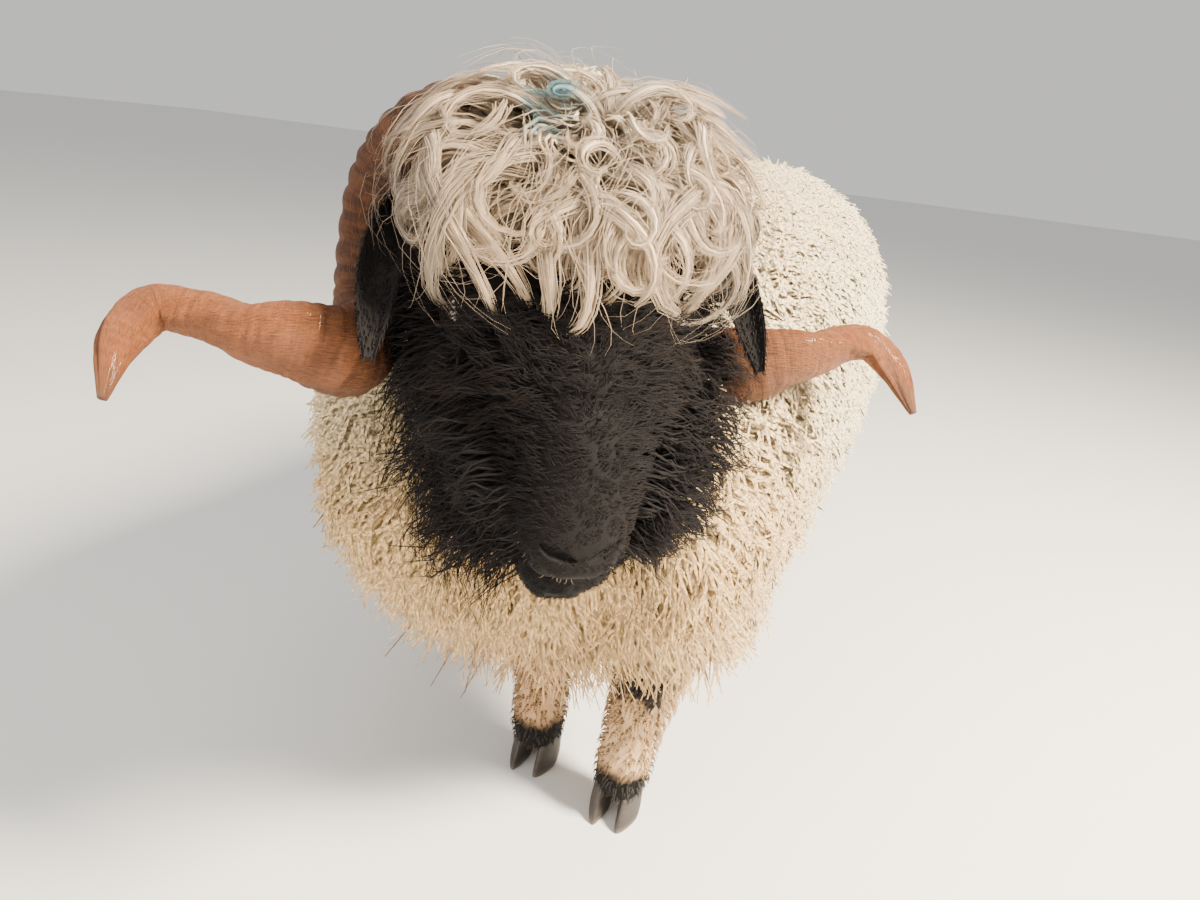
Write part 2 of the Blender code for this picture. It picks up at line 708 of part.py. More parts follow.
def curl_meshes():
    """The curls of the cheeks and the jaw."""
    rng = random.Random(5)
    tube = Tube(JAW_WOOL, (0, 0, 1))
    made = []
    for row, start in enumerate(CURL_ROWS):
        for k in range(CURLS):
            angle = math.radians(44.0 - 268.0 * (k + 0.5 * (row % 2) + rng.uniform(-0.15, 0.15)) / (CURLS - 0.5))
            bend = rng.choice((-1.0, 1.0)) * rng.uniform(0.12, 0.34)
            span = CURL_LENGTH * rng.uniform(0.85, 1.15) / 0.050
            start_at = start + rng.uniform(-0.15, 0.15)
            path, outs = [], []
            for i in range(5):
                t = i / 4
                u = min(start_at + span * t, tube.last - 0.4)
                swing = angle + bend * math.sin(math.pi * t)
                sink = JAW_SINK + 0.008 if i == 0 else 0.006 + 0.006 * abs(2 * t - 1)
                path.append(tube.point(u, swing) - tube.normal(u, swing) * sink)
                outs.append(tube.normal(u, swing))
            made.append(lock_mesh(path, outs, CURL_WIDTH * rng.uniform(0.85, 1.15), CURL_THICKNESS))
    return made


def build_head():
    """The skull in its short wool, with lids, lips, nostrils and mouth, and curls on the cheeks and the jaw."""
    head = skull()
    tube = Tube(SKULL, (0, 0, 1))
    added = [shrunk(Tube(JAW_WOOL, (0, 0, 1)).mesh(12, 14), JAW_SINK)] + curl_meshes()
    for side in (1, -1):
        added.append(lid_mesh(side))
        for centre, reach in LIPS if side > 0 else LIPS[:1]:
            lip = ball(Vector((0, 0, 0)), 1.0, 9, 6)
            bmesh.ops.scale(lip, vec=reach, verts=lip.verts)
            bmesh.ops.translate(lip, vec=mirrored(centre, side), verts=lip.verts)
            added.append(lip)
    fuse(head, [in_head(bm, "face", "face_wool") for bm in added])
    slots = []
    for side in (1, -1):
        angles = [(u, math.radians(a), r) for u, a, r in NOSTRIL]
        path = [tube.point(u, math.pi - a if side > 0 else a) for u, a, _ in angles]
        slots.append(sweep_mesh(path, [r for _, _, r in angles]))
    half = [(u, math.radians(a)) for u, a in MOUTH]
    line = [tube.point(u, a) for u, a in half] + [tube.point(u, math.pi - a) for u, a in half[-2::-1]]
    slots.append(sweep_mesh(line, [MOUTH_HALF_WIDTH] * len(line), 5))
    cut(head, [in_head(bm, "slot", "face_wool") for bm in slots])
    return head


def trunk():
    return piece("torso", Tube(TRUNK, (0, 0, 1), TRUNK_SQUARENESS).mesh(22, 24), "fleece")


def rooms(*objects):
    """Cutters that leave a gap round these objects, which are removed."""
    made = [swollen(obj) for obj in objects]
    for obj in objects:
        discard(obj)
    return made


def build_tail():
    """The tail's own wool, from the plane where it leaves the rump."""
    tube = Tube(TAIL, (0, 1, 0.2))
    tail = piece("tail", shrunk(tube.mesh(12, 10), TAIL_SINK))
    fuse(tail, clumps(tube, random.Random(3), TAIL_SPACING, TAIL_TUFT, lambda place: place.y < 0.50))
    cut(tail, [beyond(DOCK + DOCK_LIE * GAP, -DOCK_LIE)])
    return tail


def on_forelock(direction, sink):
    """A place on the forelock's ellipsoid, this far under the tips, and the way out of it."""
    reach = FORELOCK_REACH - Vector((sink, sink, sink))
    d = direction.normalized()
    r = 1.0 / math.sqrt((d.x / reach.x) ** 2 + (d.y / reach.y) ** 2 + (d.z / reach.z) ** 2)
    place = d * r
    out = Vector((place.x / reach.x**2, place.y / reach.y**2, place.z / reach.z**2)).normalized()
    return FORELOCK_CENTRE + place, out


def build_forelock():
    """Curled locks that fall from the crown over a round core."""
    rng = random.Random(11)
    bm = ball(Vector((0, 0, 0)), 1.0, 16, 10)
    bmesh.ops.scale(bm, vec=FORELOCK_REACH - Vector([FORELOCK_SINK] * 3), verts=bm.verts)
    bmesh.ops.translate(bm, vec=FORELOCK_CENTRE, verts=bm.verts)
    forelock = in_head(bm, "forelock", "forelock_wool")
    crown = CROWN.normalized()
    side = Vector((1.0, 0.0, 0.0))
    front = side.cross(crown)
    locks = []
    for degrees, count in LOCK_RINGS:
        for k in range(count):
            turn = math.tau * (k + rng.uniform(-0.25, 0.25)) / count
            start = math.radians(degrees + rng.uniform(-7, 7))
            bend = rng.choice((-1.0, 1.0)) * rng.uniform(0.35, 0.80)
            span = rng.uniform(0.85, 1.15) * LOCK_LENGTH / 0.095
            steps = 5
            path, outs = [], []
            for i in range(steps + 1):
                t = i / steps
                fall = start + span * t * (1.0 - 0.25 * t)
                swing = turn + bend * math.sin(math.pi * 0.9 * t) * 0.55 / max(math.sin(fall), 0.45)
                away = side * math.cos(swing) + front * math.sin(swing)
                sink = FORELOCK_SINK + 0.010 if i == 0 else 0.006 + 0.012 * abs(t - 0.5) * 2
                place, out = on_forelock(crown * math.cos(fall) + away * math.sin(fall), sink)
                path.append(place)
                outs.append(out)
            width = LOCK_WIDTH * rng.uniform(0.85, 1.15)
            locks.append(in_head(lock_mesh(path, outs, width, LOCK_THICKNESS), "lock", "forelock_wool"))
    fuse(forelock, locks)
    return forelock


def build():
    for obj in list(bpy.data.objects):
        bpy.data.objects.remove(obj)

    horns = {side: in_head(horn_mesh(side), f"horn_{word}", "horn") for side, word in ((1, "left"), (-1, "right"))}
    ears = {side: in_head(ear_mesh(side), f"ear_{word}", "face_wool") for side, word in ((1, "left"), (-1, "right"))}
    eyes = []
    for side, word in ((1, "left"), (-1, "right")):
        centre, _ = eye_place(side)
        eyes.append(in_head(ball(centre, EYE_RADIUS), f"eye_{word}", "eye"))

    def clearance():
        """Cutters for what the horns, ears and eyes stand in."""
        rooms = [swollen(obj) for obj in (*horns.values(), *eyes)]
        return rooms + [swollen(ear, 4 * GAP) for ear in ears.values()]

    matrix = head_matrix()
    nape = matrix @ Vector((0.0, -0.010, -0.080))
    nape_normal = matrix.to_3x3() @ Vector((0.0, 0.60, -0.80))
    collar = Vector((0.0, -0.270, 0.600))
    collar_normal = Vector((0.0, -0.86, 0.51))

    torso = build_body()
    neck = piece("neck", bmesh_of(torso))
    cut(torso, [beyond(collar, collar_normal)] + clearance())
    cut(neck, [beyond(collar + collar_normal * GAP, -collar_normal), beyond(nape, -nape_normal)] + clearance())

    head = build_head()
    cut(head, [beyond(nape - nape_normal * GAP, nape_normal)] + clearance())

    forelock = build_forelock()
    lids = [in_head(lid_mesh(side), "lid", "face_wool") for side in (1, -1)]
    cut(forelock, rooms(skull(), jaw_tips(), *lids) + [beyond(nape - nape_normal * GAP, nape_normal)] + clearance())

    tail = build_tail()
    cut(tail, rooms(trunk()))

    nodes = [torso, neck, head, forelock, tail, *horns.values(), *ears.values(), *eyes]
    nodes += build_legs() + build_hooves()
    ram = bpy.data.collections.new("valais_blacknose_ram")
    bpy.context.scene.collection.children.link(ram)
    stance = bpy.data.objects.new("stance", None)
    ram.objects.link(stance)
    stance.location = SHIFT
    for node in nodes:
        bpy.context.scene.collection.objects.unlink(node)
        ram.objects.link(node)
        node.parent = stance
        node.data.shade_smooth()


build()
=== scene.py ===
"""A Valais blacknose ram with a curled forelock, a black face and corkscrew horns, on a pale studio floor."""

import math

import bmesh
import bpy
import numpy as np
from mathutils import Matrix, Vector
from mathutils.bvhtree import BVHTree
from mathutils.kdtree import KDTree


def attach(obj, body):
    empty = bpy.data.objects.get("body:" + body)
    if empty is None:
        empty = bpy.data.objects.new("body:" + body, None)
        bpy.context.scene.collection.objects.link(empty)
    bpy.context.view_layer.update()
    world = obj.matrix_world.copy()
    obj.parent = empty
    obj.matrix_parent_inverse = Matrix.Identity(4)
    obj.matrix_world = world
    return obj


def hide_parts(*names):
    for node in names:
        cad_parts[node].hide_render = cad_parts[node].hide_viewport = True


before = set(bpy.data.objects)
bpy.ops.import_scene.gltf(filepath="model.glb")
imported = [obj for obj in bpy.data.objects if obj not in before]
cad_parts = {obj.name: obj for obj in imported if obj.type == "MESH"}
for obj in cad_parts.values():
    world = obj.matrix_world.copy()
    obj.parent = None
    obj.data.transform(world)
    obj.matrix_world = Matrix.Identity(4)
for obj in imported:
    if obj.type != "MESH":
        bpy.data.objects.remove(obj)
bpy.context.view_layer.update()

# ---------------------------------------------------------------------------------------------------------
# The studio: a camera a little above the ram's head and close in front of it, tipped to one side, and soft
# square lamps, with the strongest one beside the ram's left shoulder.
SHIFT = Vector((0.0152, 0.0527, 0.0))  # from the ram's own frame to the middle of its box
CAMERA_PLACE = Vector((0.256, -1.109, 0.808))
CAMERA_TURN, CAMERA_TILT, CAMERA_ROLL = 18.0, 70.0, 7.0  # degrees
SKY_COLOUR, SKY_STRENGTH = (0.90, 0.89, 0.87, 1.0), 0.80
lens = bpy.data.cameras.new("camera")
lens.lens, lens.sensor_width, lens.clip_start = 25.5, 36.0, 0.02
camera = bpy.data.objects.new("camera", lens)
bpy.context.scene.collection.objects.link(camera)
camera.matrix_world = (
    Matrix.Translation(CAMERA_PLACE + SHIFT)
    @ Matrix.Rotation(math.radians(CAMERA_TURN), 4, "Z")
    @ Matrix.Rotation(math.radians(CAMERA_TILT), 4, "X")
    @ Matrix.Rotation(math.radians(CAMERA_ROLL), 4, "Z")
)
bpy.context.scene.camera = camera

sky = bpy.data.worlds.new("studio")
sky.use_nodes = True
sky.node_tree.nodes["Background"].inputs["Color"].default_value = SKY_COLOUR
sky.node_tree.nodes["Background"].inputs["Strength"].default_value = SKY_STRENGTH
bpy.context.scene.world = sky


def softbox(name, place, aim, power, size, colour):
    """A square lamp at a place, turned to face another."""
    lamp = bpy.data.lights.new(name, "AREA")
    lamp.energy, lamp.size, lamp.color = power, size, colour
    holder = bpy.data.objects.new(name, lamp)
    bpy.context.scene.collection.objects.link(holder)
    turn = (Vector(place) - Vector(aim)).to_track_quat("Z", "Y").to_matrix().to_4x4()
    holder.matrix_world = Matrix.Translation(place) @ turn


softbox("sun_side", (2.5, -0.35, 2.7), (0.0, 0.0, 0.5), 820.0, 0.8, (1.0, 0.87, 0.68))
softbox("front_fill", (-1.6, -3.0, 2.0), (0.0, -0.4, 0.5), 84.0, 2.4, (1.0, 0.93, 0.84))
softbox("top_fill", (0.2, -1.3, 3.2), (0.0, -0.3, 0.6), 46.0, 2.0, (1.0, 0.97, 0.92))


# ---------------------------------------------------------------------------------------------------------
# The floor: one wide, flat, matt sheet. Its finish, like every other one here, is a tree of nodes, in which
# arithmetic is written as Python and each other node is added by one method.
class Value:
    """A number inside a finish, on which arithmetic adds Math nodes."""

    def __init__(self, finish, socket):
        self.finish, self.socket = finish, socket

    def _math(self, kind, *parts):
        return self.finish.node("ShaderNodeMath", {"operation": kind}, *parts)["Value"]

    def __add__(self, other):
        return self._math("ADD", self, other)

    def __sub__(self, other):
        return self._math("SUBTRACT", self, other)

    def __rsub__(self, other):
        return self._math("SUBTRACT", other, self)

    def __mul__(self, other):
        return self._math("MULTIPLY", self, other)

    def __truediv__(self, other):
        return self._math("DIVIDE", self, other)

    def __rtruediv__(self, other):
        return self._math("DIVIDE", other, self)

    def __pow__(self, other):
        return self._math("POWER", self, other)

    __radd__, __rmul__ = __add__, __mul__

    def high(self, other):
        return self._math("MAXIMUM", self, other)

    def low(self, other):
        return self._math("MINIMUM", self, other)

    def between(self, start, end):
        """0 at start, 1 at end and smooth between them."""
        sockets = {"Value": self, "From Min": start, "From Max": end}
        return self.finish.node("ShaderNodeMapRange", {"interpolation_type": "SMOOTHSTEP"}, **sockets)["Result"]


class Finish:
    """A material with one Principled shader."""

    def __init__(self, name, roughness, **sockets):
        self.material = bpy.data.materials.new(name)
        self.material.use_nodes = True
        self.tree = self.material.node_tree
        self.shader = self.tree.nodes["Principled BSDF"]
        self.shader.inputs["Roughness"].default_value = roughness
        for key, value in sockets.items():
            self.shader.inputs[key.replace("_", " ")].default_value = value

    def set(self, socket, value):
        """Links a value or a node's output to an input, or stores a plain number or colour there."""
        if isinstance(value, Value):
            self.tree.links.new(value.socket, socket)
        elif isinstance(value, (tuple, list)):
            socket.default_value = (*value, 1.0)[: len(socket.default_value)]
        else:
            socket.default_value = value

    def node(self, kind, settings=None, *ordered, **named):
        """Adds a node, with its settings first, then its inputs in order or by name, and returns its outputs."""
        made = self.tree.nodes.new(kind)
        for key, value in (settings or {}).items():
            setattr(made, key, value)
        for socket, value in zip(made.inputs, ordered):
            self.set(socket, value)
        for key, value in named.items():
            self.set(made.inputs[key.replace("_", " ")], value)
        return {output.name: Value(self, output) for output in made.outputs}

    def place(self):
        """Where the point is in the ram's frame."""
        return self.node("ShaderNodeTexCoord")["Object"]

    def attribute(self, name):
        return self.node("ShaderNodeAttribute", {"attribute_name": name})["Fac"]

    def noise(self, where, scale, detail=2.0, roughness=0.5):
        sockets = {"Vector": where, "Scale": scale, "Detail": detail, "Roughness": roughness}
        return self.node("ShaderNodeTexNoise", None, **sockets)["Fac"]

    def vector(self, x, y, z):
        return self.node("ShaderNodeCombineXYZ", None, x, y, z)["Vector"]

    def parts(self, where):
        return self.node("ShaderNodeSeparateXYZ", None, where)

    def mix(self, amount, one, two, blend="MIX"):
        """One colour turned to another by an amount."""
        made = self.tree.nodes.new("ShaderNodeMix")
        made.data_type, made.blend_type = "RGBA", blend
        self.set(made.inputs[0], amount)
        self.set(made.inputs[6], one)
        self.set(made.inputs[7], two)
        return Value(self, made.outputs[2])

    def away(self, where, centre, reach):
        """How far a point is from a centre, as a part of the reach along each axis."""
        off = self.node("ShaderNodeVectorMath", {"operation": "SUBTRACT"}, where, tuple(centre))["Vector"]
        scaled = self.node("ShaderNodeVectorMath", {"operation": "DIVIDE"}, off, tuple(reach))["Vector"]
        return self.node("ShaderNodeVectorMath", {"operation": "LENGTH"}, scaled)["Value"]

    def bump(self, height, depth, strength=1.0):
        made = self.node("ShaderNodeBump", None, Strength=strength, Distance=depth, Height=height)["Normal"]
        self.set(self.shader.inputs["Normal"], made)

    def colour(self, value):
        self.set(self.shader.inputs["Base Color"], value)


def item(name, made, finish=None, smooth=True):
    """An object of that bmesh, in the scene."""
    mesh = bpy.data.meshes.new(name)
    made.to_mesh(mesh)
    made.free()
    obj = bpy.data.objects.new(name, mesh)
    if finish:
        mesh.materials.append(finish.material)
    bpy.context.scene.collection.objects.link(obj)
    if smooth:
        mesh.shade_smooth()
    return obj


FLOOR_GREY, FLOOR_REACH = (0.74, 0.74, 0.73), 30.0
floor_finish = Finish("studio_floor", 0.9)
floor_finish.colour(FLOOR_GREY)
sheet = bmesh.new()
bmesh.ops.create_grid(sheet, x_segments=8, y_segments=8, size=FLOOR_REACH)
floor = item("studio_floor", sheet, floor_finish, smooth=False)

# ---------------------------------------------------------------------------------------------------------
# The body under the wool: a trunk, a neck, four legs and a tail of flesh, each a sleeve that is extruded
# ring by ring and bent along its own line, all grown together and smoothed into one hide.
TRUNK = (
    ((-0.050, -0.458, 0.450), 0.115, 0.090, 0.120),
    ((-0.056, -0.428, 0.472), 0.198, 0.160, 0.192),
    ((-0.054, -0.360, 0.508), 0.246, 0.222, 0.238),
    ((-0.044, -0.250, 0.540), 0.270, 0.260, 0.258),
    ((-0.030, -0.120, 0.553), 0.270, 0.258, 0.264),
    ((-0.016, 0.040, 0.562), 0.262, 0.244, 0.254),
    ((-0.010, 0.200, 0.568), 0.256, 0.242, 0.240),
    ((-0.006, 0.320, 0.572), 0.246, 0.240, 0.228),
    ((-0.004, 0.415, 0.572), 0.222, 0.224, 0.205),
    ((-0.004, 0.480, 0.572), 0.178, 0.185, 0.172),
    ((-0.004, 0.520, 0.575), 0.105, 0.115, 0.115),
)
NECK = (
    ((-0.034, -0.120, 0.600), 0.225, 0.185, 0.240),
    ((-0.038, -0.230, 0.625), 0.212, 0.178, 0.230),
    ((-0.046, -0.330, 0.668), 0.176, 0.148, 0.190),
    ((-0.050, -0.410, 0.710), 0.136, 0.112, 0.142),
    ((-0.034, -0.475, 0.750), 0.100, 0.070, 0.090),
)
TAIL = (
    ((0.000, 0.470, 0.690), 0.040, 0.040, 0.040),
    ((0.000, 0.530, 0.670), 0.044, 0.038, 0.038),
    ((0.000, 0.570, 0.600), 0.050, 0.036, 0.034),
    ((0.000, 0.585, 0.500), 0.052, 0.034, 0.034),
    ((0.000, 0.580, 0.400), 0.044, 0.030, 0.030),
    ((0.000, 0.572, 0.330), 0.014, 0.012, 0.012),
)
LEG_SECTIONS = {
    "fore": (
        (0.120, -0.200, 0.460, 0.090, 0.100, 0.095),
        (0.108, -0.215, 0.380, 0.085, 0.090, 0.085),
        (0.096, -0.225, 0.300, 0.072, 0.074, 0.072),
        (0.088, -0.228, 0.240, 0.058, 0.058, 0.060),
        (0.083, -0.226, 0.170, 0.048, 0.049, 0.049),
        (0.080, -0.226, 0.110, 0.044, 0.046, 0.045),
        (0.080, -0.230, 0.070, 0.046, 0.046, 0.050),
        (0.080, -0.232, 0.034, 0.038, 0.040, 0.044),
    ),
    "hind": (
        (0.125, 0.310, 0.520, 0.112, 0.140, 0.150),
        (0.128, 0.335, 0.420, 0.100, 0.120, 0.118),
        (0.126, 0.372, 0.335, 0.076, 0.086, 0.082),
        (0.120, 0.402, 0.265, 0.056, 0.062, 0.060),
        (0.116, 0.400, 0.190, 0.047, 0.049, 0.048),
        (0.114, 0.388, 0.115, 0.044, 0.046, 0.045),
        (0.114, 0.380, 0.070, 0.046, 0.046, 0.050),
        (0.114, 0.376, 0.034, 0.038, 0.040, 0.044),
    ),
}
STRIDE = {("fore", 1): -0.020, ("fore", -1): 0.025, ("hind", 1): 0.020, ("hind", -1): -0.040}
STRADDLE = {("fore", 1): -0.026, ("fore", -1): 0.004, ("hind", 1): 0.0, ("hind", -1): 0.0}
FLEECE_DEPTH = 0.036
TAIL_FLESH, LEG_FLESH = 0.55, 0.76  # the flesh has this part of the width with wool
HIDE_GRAIN, HEAD_GRAIN = 0.009, 0.0030  # the hide's faces are this wide on the body and on the head


def spline(rows, u):
    """A smooth curve through equal rows of numbers, at u from 0 to their count less one."""
    i = min(max(int(u), 0), len(rows) - 2)
    t = u - i
    before, a, b, after = (rows[min(max(k, 0), len(rows) - 1)] for k in (i - 1, i, i + 1, i + 2))
    return [
        0.5 * (2 * q + (r - p) * t + (2 * p - 5 * q + 4 * r - s) * t * t + (3 * q - p - 3 * r + s) * t**3)
        for p, q, r, s in zip(before, a, b, after)
    ]


def line_way(rows, u):
    """The way that the smooth curve through the rows' centres runs at u."""
    ahead = Vector(spline(rows, min(u + 0.05, len(rows) - 1))[:3])
    behind = Vector(spline(rows, max(u - 0.05, 0.0))[:3])
    return (ahead - behind).normalized()


class Tube:
    """Oval sections along a smooth line: each row is a centre, a half width, and a reach up and down."""

    def __init__(self, rows, up, squareness=2.0, thinner=0.0, slimmer=1.0):
        self.rows = [(*centre, *(max(v * slimmer - thinner, 0.004) for v in sizes)) for centre, *sizes in rows]
        self.up, self.power, self.last = Vector(up), 2.0 / squareness, len(rows) - 1

    def frame(self, u):
        x, y, z, width, top, bottom = spline(self.rows, u)
        along = line_way(self.rows, u)
        side = along.cross(self.up).normalized()
        return Vector((x, y, z)), side, side.cross(along), width, top, bottom

    def point(self, u, angle):
        centre, side, up, width, top, bottom = self.frame(u)
        c, s = math.cos(angle), math.sin(angle)
        across = math.copysign(abs(c) ** self.power, c) * width
        rise = math.copysign(abs(s) ** self.power, s) * (top if s > 0 else bottom)
        return centre + side * across + up * rise

    def normal(self, u, angle):
        low, high = max(u - 0.02, 0.0), min(u + 0.02, self.last)
        along = self.point(high, angle) - self.point(low, angle)
        out = (self.point(u, angle + 0.02) - self.point(u, angle - 0.02)).cross(along).normalized()
        return out if out.dot(self.point(u, angle) - self.frame(u)[0]) > 0 else -out


def sleeve(shape, last, rings, sides):
    """A closed sleeve, extruded ring by ring, then bent so that each vertex lies at shape(u, angle)."""
    made = bmesh.new()
    bmesh.ops.create_circle(made, cap_ends=True, segments=sides, radius=1.0)
    for _ in range(rings):
        rim = [edge for edge in made.edges if edge.is_boundary]
        bmesh.ops.extrude_edge_only(made, edges=rim)
        rim = {vertex for edge in made.edges if edge.is_boundary for vertex in edge.verts}
        bmesh.ops.translate(made, vec=(0.0, 0.0, 1.0), verts=list(rim))
    bmesh.ops.edgeloop_fill(made, edges=[edge for edge in made.edges if edge.is_boundary])
    along = made.verts.layers.float.new("along")
    turned = made.verts.layers.float.new("turned")
    for vertex in made.verts:
        u, angle = last * vertex.co.z / rings, math.atan2(vertex.co.y, vertex.co.x) % math.tau
        vertex[along], vertex[turned] = u, angle
        vertex.co = shape(u, angle)
    bmesh.ops.triangulate(made, faces=[face for face in made.faces if len(face.verts) > 4])
    bmesh.ops.recalc_face_normals(made, faces=made.faces)
    return made


def tube_mesh(tube, rings, sides):
    return sleeve(tube.point, tube.last, rings, sides)


def modified(obj, kind, **settings):
    """The object's mesh is changed by one modifier, which is applied."""
    modifier = obj.modifiers.new(kind.lower(), kind)
    for key, value in settings.items():
        setattr(modifier, key, value)
    graph = bpy.context.evaluated_depsgraph_get()
    mesh = bpy.data.meshes.new_from_object(obj.evaluated_get(graph))
    obj.modifiers.clear()
    obj.data = mesh


def together(name, parts):
    """One object of several meshes."""
    made = bmesh.new()
    for part in parts:
        mesh = bpy.data.meshes.new("part")
        part.to_mesh(mesh)
        part.free()
        made.from_mesh(mesh)
        bpy.data.meshes.remove(mesh)
    return item(name, made)


def leg_tube(kind, side, slimmer=1.0):
    rows = LEG_SECTIONS[kind]
    top = rows[0][2]
    placed = []
    for x, y, z, *sizes in rows:
        down = (top - z) / top
        placed.append(((x * side + STRADDLE[kind, side] * down, y + STRIDE[kind, side] * down, z), *sizes))
    return Tube(placed, (0, 1, 0), slimmer=slimmer)


trunk_tube = Tube(TRUNK, (0, 0, 1), 2.2, FLEECE_DEPTH)
neck_tube = Tube(NECK, (0, 0, 1), 2.0, FLEECE_DEPTH)
tail_tube = Tube(TAIL, (0, 1, 0.2), slimmer=TAIL_FLESH)
flesh = [tube_mesh(trunk_tube, 60, 56), tube_mesh(neck_tube, 30, 48), tube_mesh(tail_tube, 30, 20)]
flesh += [tube_mesh(leg_tube(kind, side, LEG_FLESH), 44, 28) for kind, side in STRIDE]
hide = together("hide", flesh)
modified(hide, "REMESH", mode="VOXEL", voxel_size=HIDE_GRAIN)
modified(hide, "SMOOTH", factor=0.5, iterations=6)

# ---------------------------------------------------------------------------------------------------------
# The head under its wool: skull and jaw as one form, with folds of skin round each eye, lips, and cuts for
# the nostrils, the mouth and the eye sockets. Its own frame has the poll at its origin and the nose to -Y.
POLL = Vector((-0.006, -0.481, 0.790))
head_turn = (
    Matrix.Translation(POLL)
    @ Matrix.Rotation(math.radians(37.5), 4, "Z")
    @ Matrix.Rotation(math.radians(55.0), 4, "X")
)
SKULL = (
    ((0.0, 0.055, -0.030), 0.046, 0.040, 0.040),
    ((0.0, 0.030, -0.035), 0.070, 0.070, 0.060),
    ((0.0, -0.015, -0.035), 0.084, 0.087, 0.085),
    ((0.0, -0.065, -0.040), 0.092, 0.097, 0.092),
    ((0.0, -0.110, -0.045), 0.093, 0.097, 0.090),
    ((0.0, -0.155, -0.050), 0.084, 0.092, 0.082),
    ((0.0, -0.195, -0.050), 0.068, 0.084, 0.070),
    ((0.0, -0.225, -0.045), 0.057, 0.072, 0.060),
    ((0.0, -0.255, -0.040), 0.050, 0.054, 0.048),
    ((0.0, -0.280, -0.036), 0.045, 0.036, 0.038),
    ((0.0, -0.300, -0.034), 0.037, 0.022, 0.027),
    ((0.0, -0.312, -0.033), 0.020, 0.011, 0.014),
)
JAW_WOOL = (
    ((0.006, 0.020, -0.078), 0.080, 0.050, 0.050),
    ((0.016, -0.050, -0.082), 0.120, 0.060, 0.064),
    ((0.022, -0.120, -0.088), 0.142, 0.064, 0.066),
    ((0.024, -0.190, -0.094), 0.146, 0.060, 0.060),
    ((0.020, -0.240, -0.097), 0.132, 0.050, 0.052),
    ((0.011, -0.278, -0.097), 0.100, 0.036, 0.040),
    ((0.002, -0.306, -0.096), 0.056, 0.022, 0.026),
    ((0.000, -0.320, -0.095), 0.022, 0.009, 0.011),
)
EYE_RADIUS, EYE_STATION, EYE_ANGLE, EYE_STANDS = 0.0145, 4.15, 22.0, 0.004
LID_WIDTH, LID_HEIGHT = 0.0175, 0.0130
LID_FOLDS = ((1.0, 0.0042, 0.45, 0.0035), (1.45, 0.0036, 0.5, 0.0005))  # reach, thickness, heavier above, lift
MOUTH_CUT = 0.0024
NOSTRIL = ((10.30, 80.0, 0.0022), (10.05, 64.0, 0.0044), (9.75, 48.0, 0.0044), (9.45, 37.0, 0.0020))
MOUTH = ((8.0, -16.0), (8.6, -24.0), (9.2, -32.0), (9.8, -42.0), (10.4, -58.0), (10.75, -90.0))
LIPS = (((0.017, -0.288, -0.044), (0.021, 0.024, 0.013)), ((0.0, -0.276, -0.072), (0.027, 0.030, 0.017)))
skull_tube = Tube(SKULL, (0, 0, 1), 2.0, 0.005)
JAW_SKIN = (0.74, 0.72, 0.68, 0.62, 0.54, 0.48, 0.56, 0.70)
jaw_rows = [(middle, wide * part, up, down) for (middle, wide, up, down), part in zip(JAW_WOOL, JAW_SKIN)]
jaw_tube = Tube(jaw_rows, (0, 0, 1))


def mirrored(centre, side):
    return Vector((centre[0] * side, centre[1], centre[2]))


def ball(radius, round_steps, high_steps):
    made = bmesh.new()
    bmesh.ops.create_uvsphere(made, u_segments=round_steps, v_segments=high_steps, radius=radius)
    return made


def eye_place(side):
    """An eyeball's centre in the head's frame, and the way that it looks."""
    tube = Tube(SKULL, (0, 0, 1))
    angle = math.radians(180 - EYE_ANGLE if side > 0 else EYE_ANGLE)
    out = tube.normal(EYE_STATION, angle)
    return tube.point(EYE_STATION, angle) - out * (EYE_RADIUS - EYE_STANDS), out


def swept(path, radii, sides=10):
    """A round bar along a path, with a radius for each of its points."""
    turns, across = [], Vector((0.31, 0.22, 0.93))
    for k in range(len(path)):
        along = (path[min(k + 1, len(path) - 1)] - path[max(k - 1, 0)]).normalized()
        across = (across - along * across.dot(along)).normalized()
        turns.append((across.copy(), along.cross(across)))

    def shape(u, angle):
        i = int(round(u))
        a, b = turns[i]
        return path[i] + (a * math.cos(angle) + b * math.sin(angle)) * radii[i]

    return sleeve(shape, len(path) - 1, len(path) - 1, sides)


def ring(middle, long_way, high_way, out, thickness, heavier, steps=40, sides=10):
    """A closed oval fold of skin, thicker above by the part named heavier."""
    made = bmesh.new()
    bmesh.ops.create_circle(made, segments=sides, radius=1.0)
    bmesh.ops.translate(made, vec=(3.0, 0.0, 0.0), verts=made.verts)
    bmesh.ops.rotate(made, cent=(0, 0, 0), matrix=Matrix.Rotation(math.pi / 2, 3, "X"), verts=made.verts)
    bmesh.ops.spin(
        made, geom=made.edges[:], cent=(0, 0, 0), axis=(0, 0, 1), angle=math.tau, steps=steps, use_merge=True
    )
    for vertex in made.verts:
        x, y, z = vertex.co
        turn, radial = math.atan2(y, x), math.hypot(x, y) - 3.0
        spoke = long_way * math.cos(turn) + high_way * math.sin(turn)
        thick = thickness * (1.0 + heavier * max(math.sin(turn), 0.0))
        vertex.co = middle + spoke + spoke.normalized() * radial * thick + out * z * thick
    bmesh.ops.remove_doubles(made, verts=made.verts, dist=1e-6)
    bmesh.ops.recalc_face_normals(made, faces=made.faces)
    return made


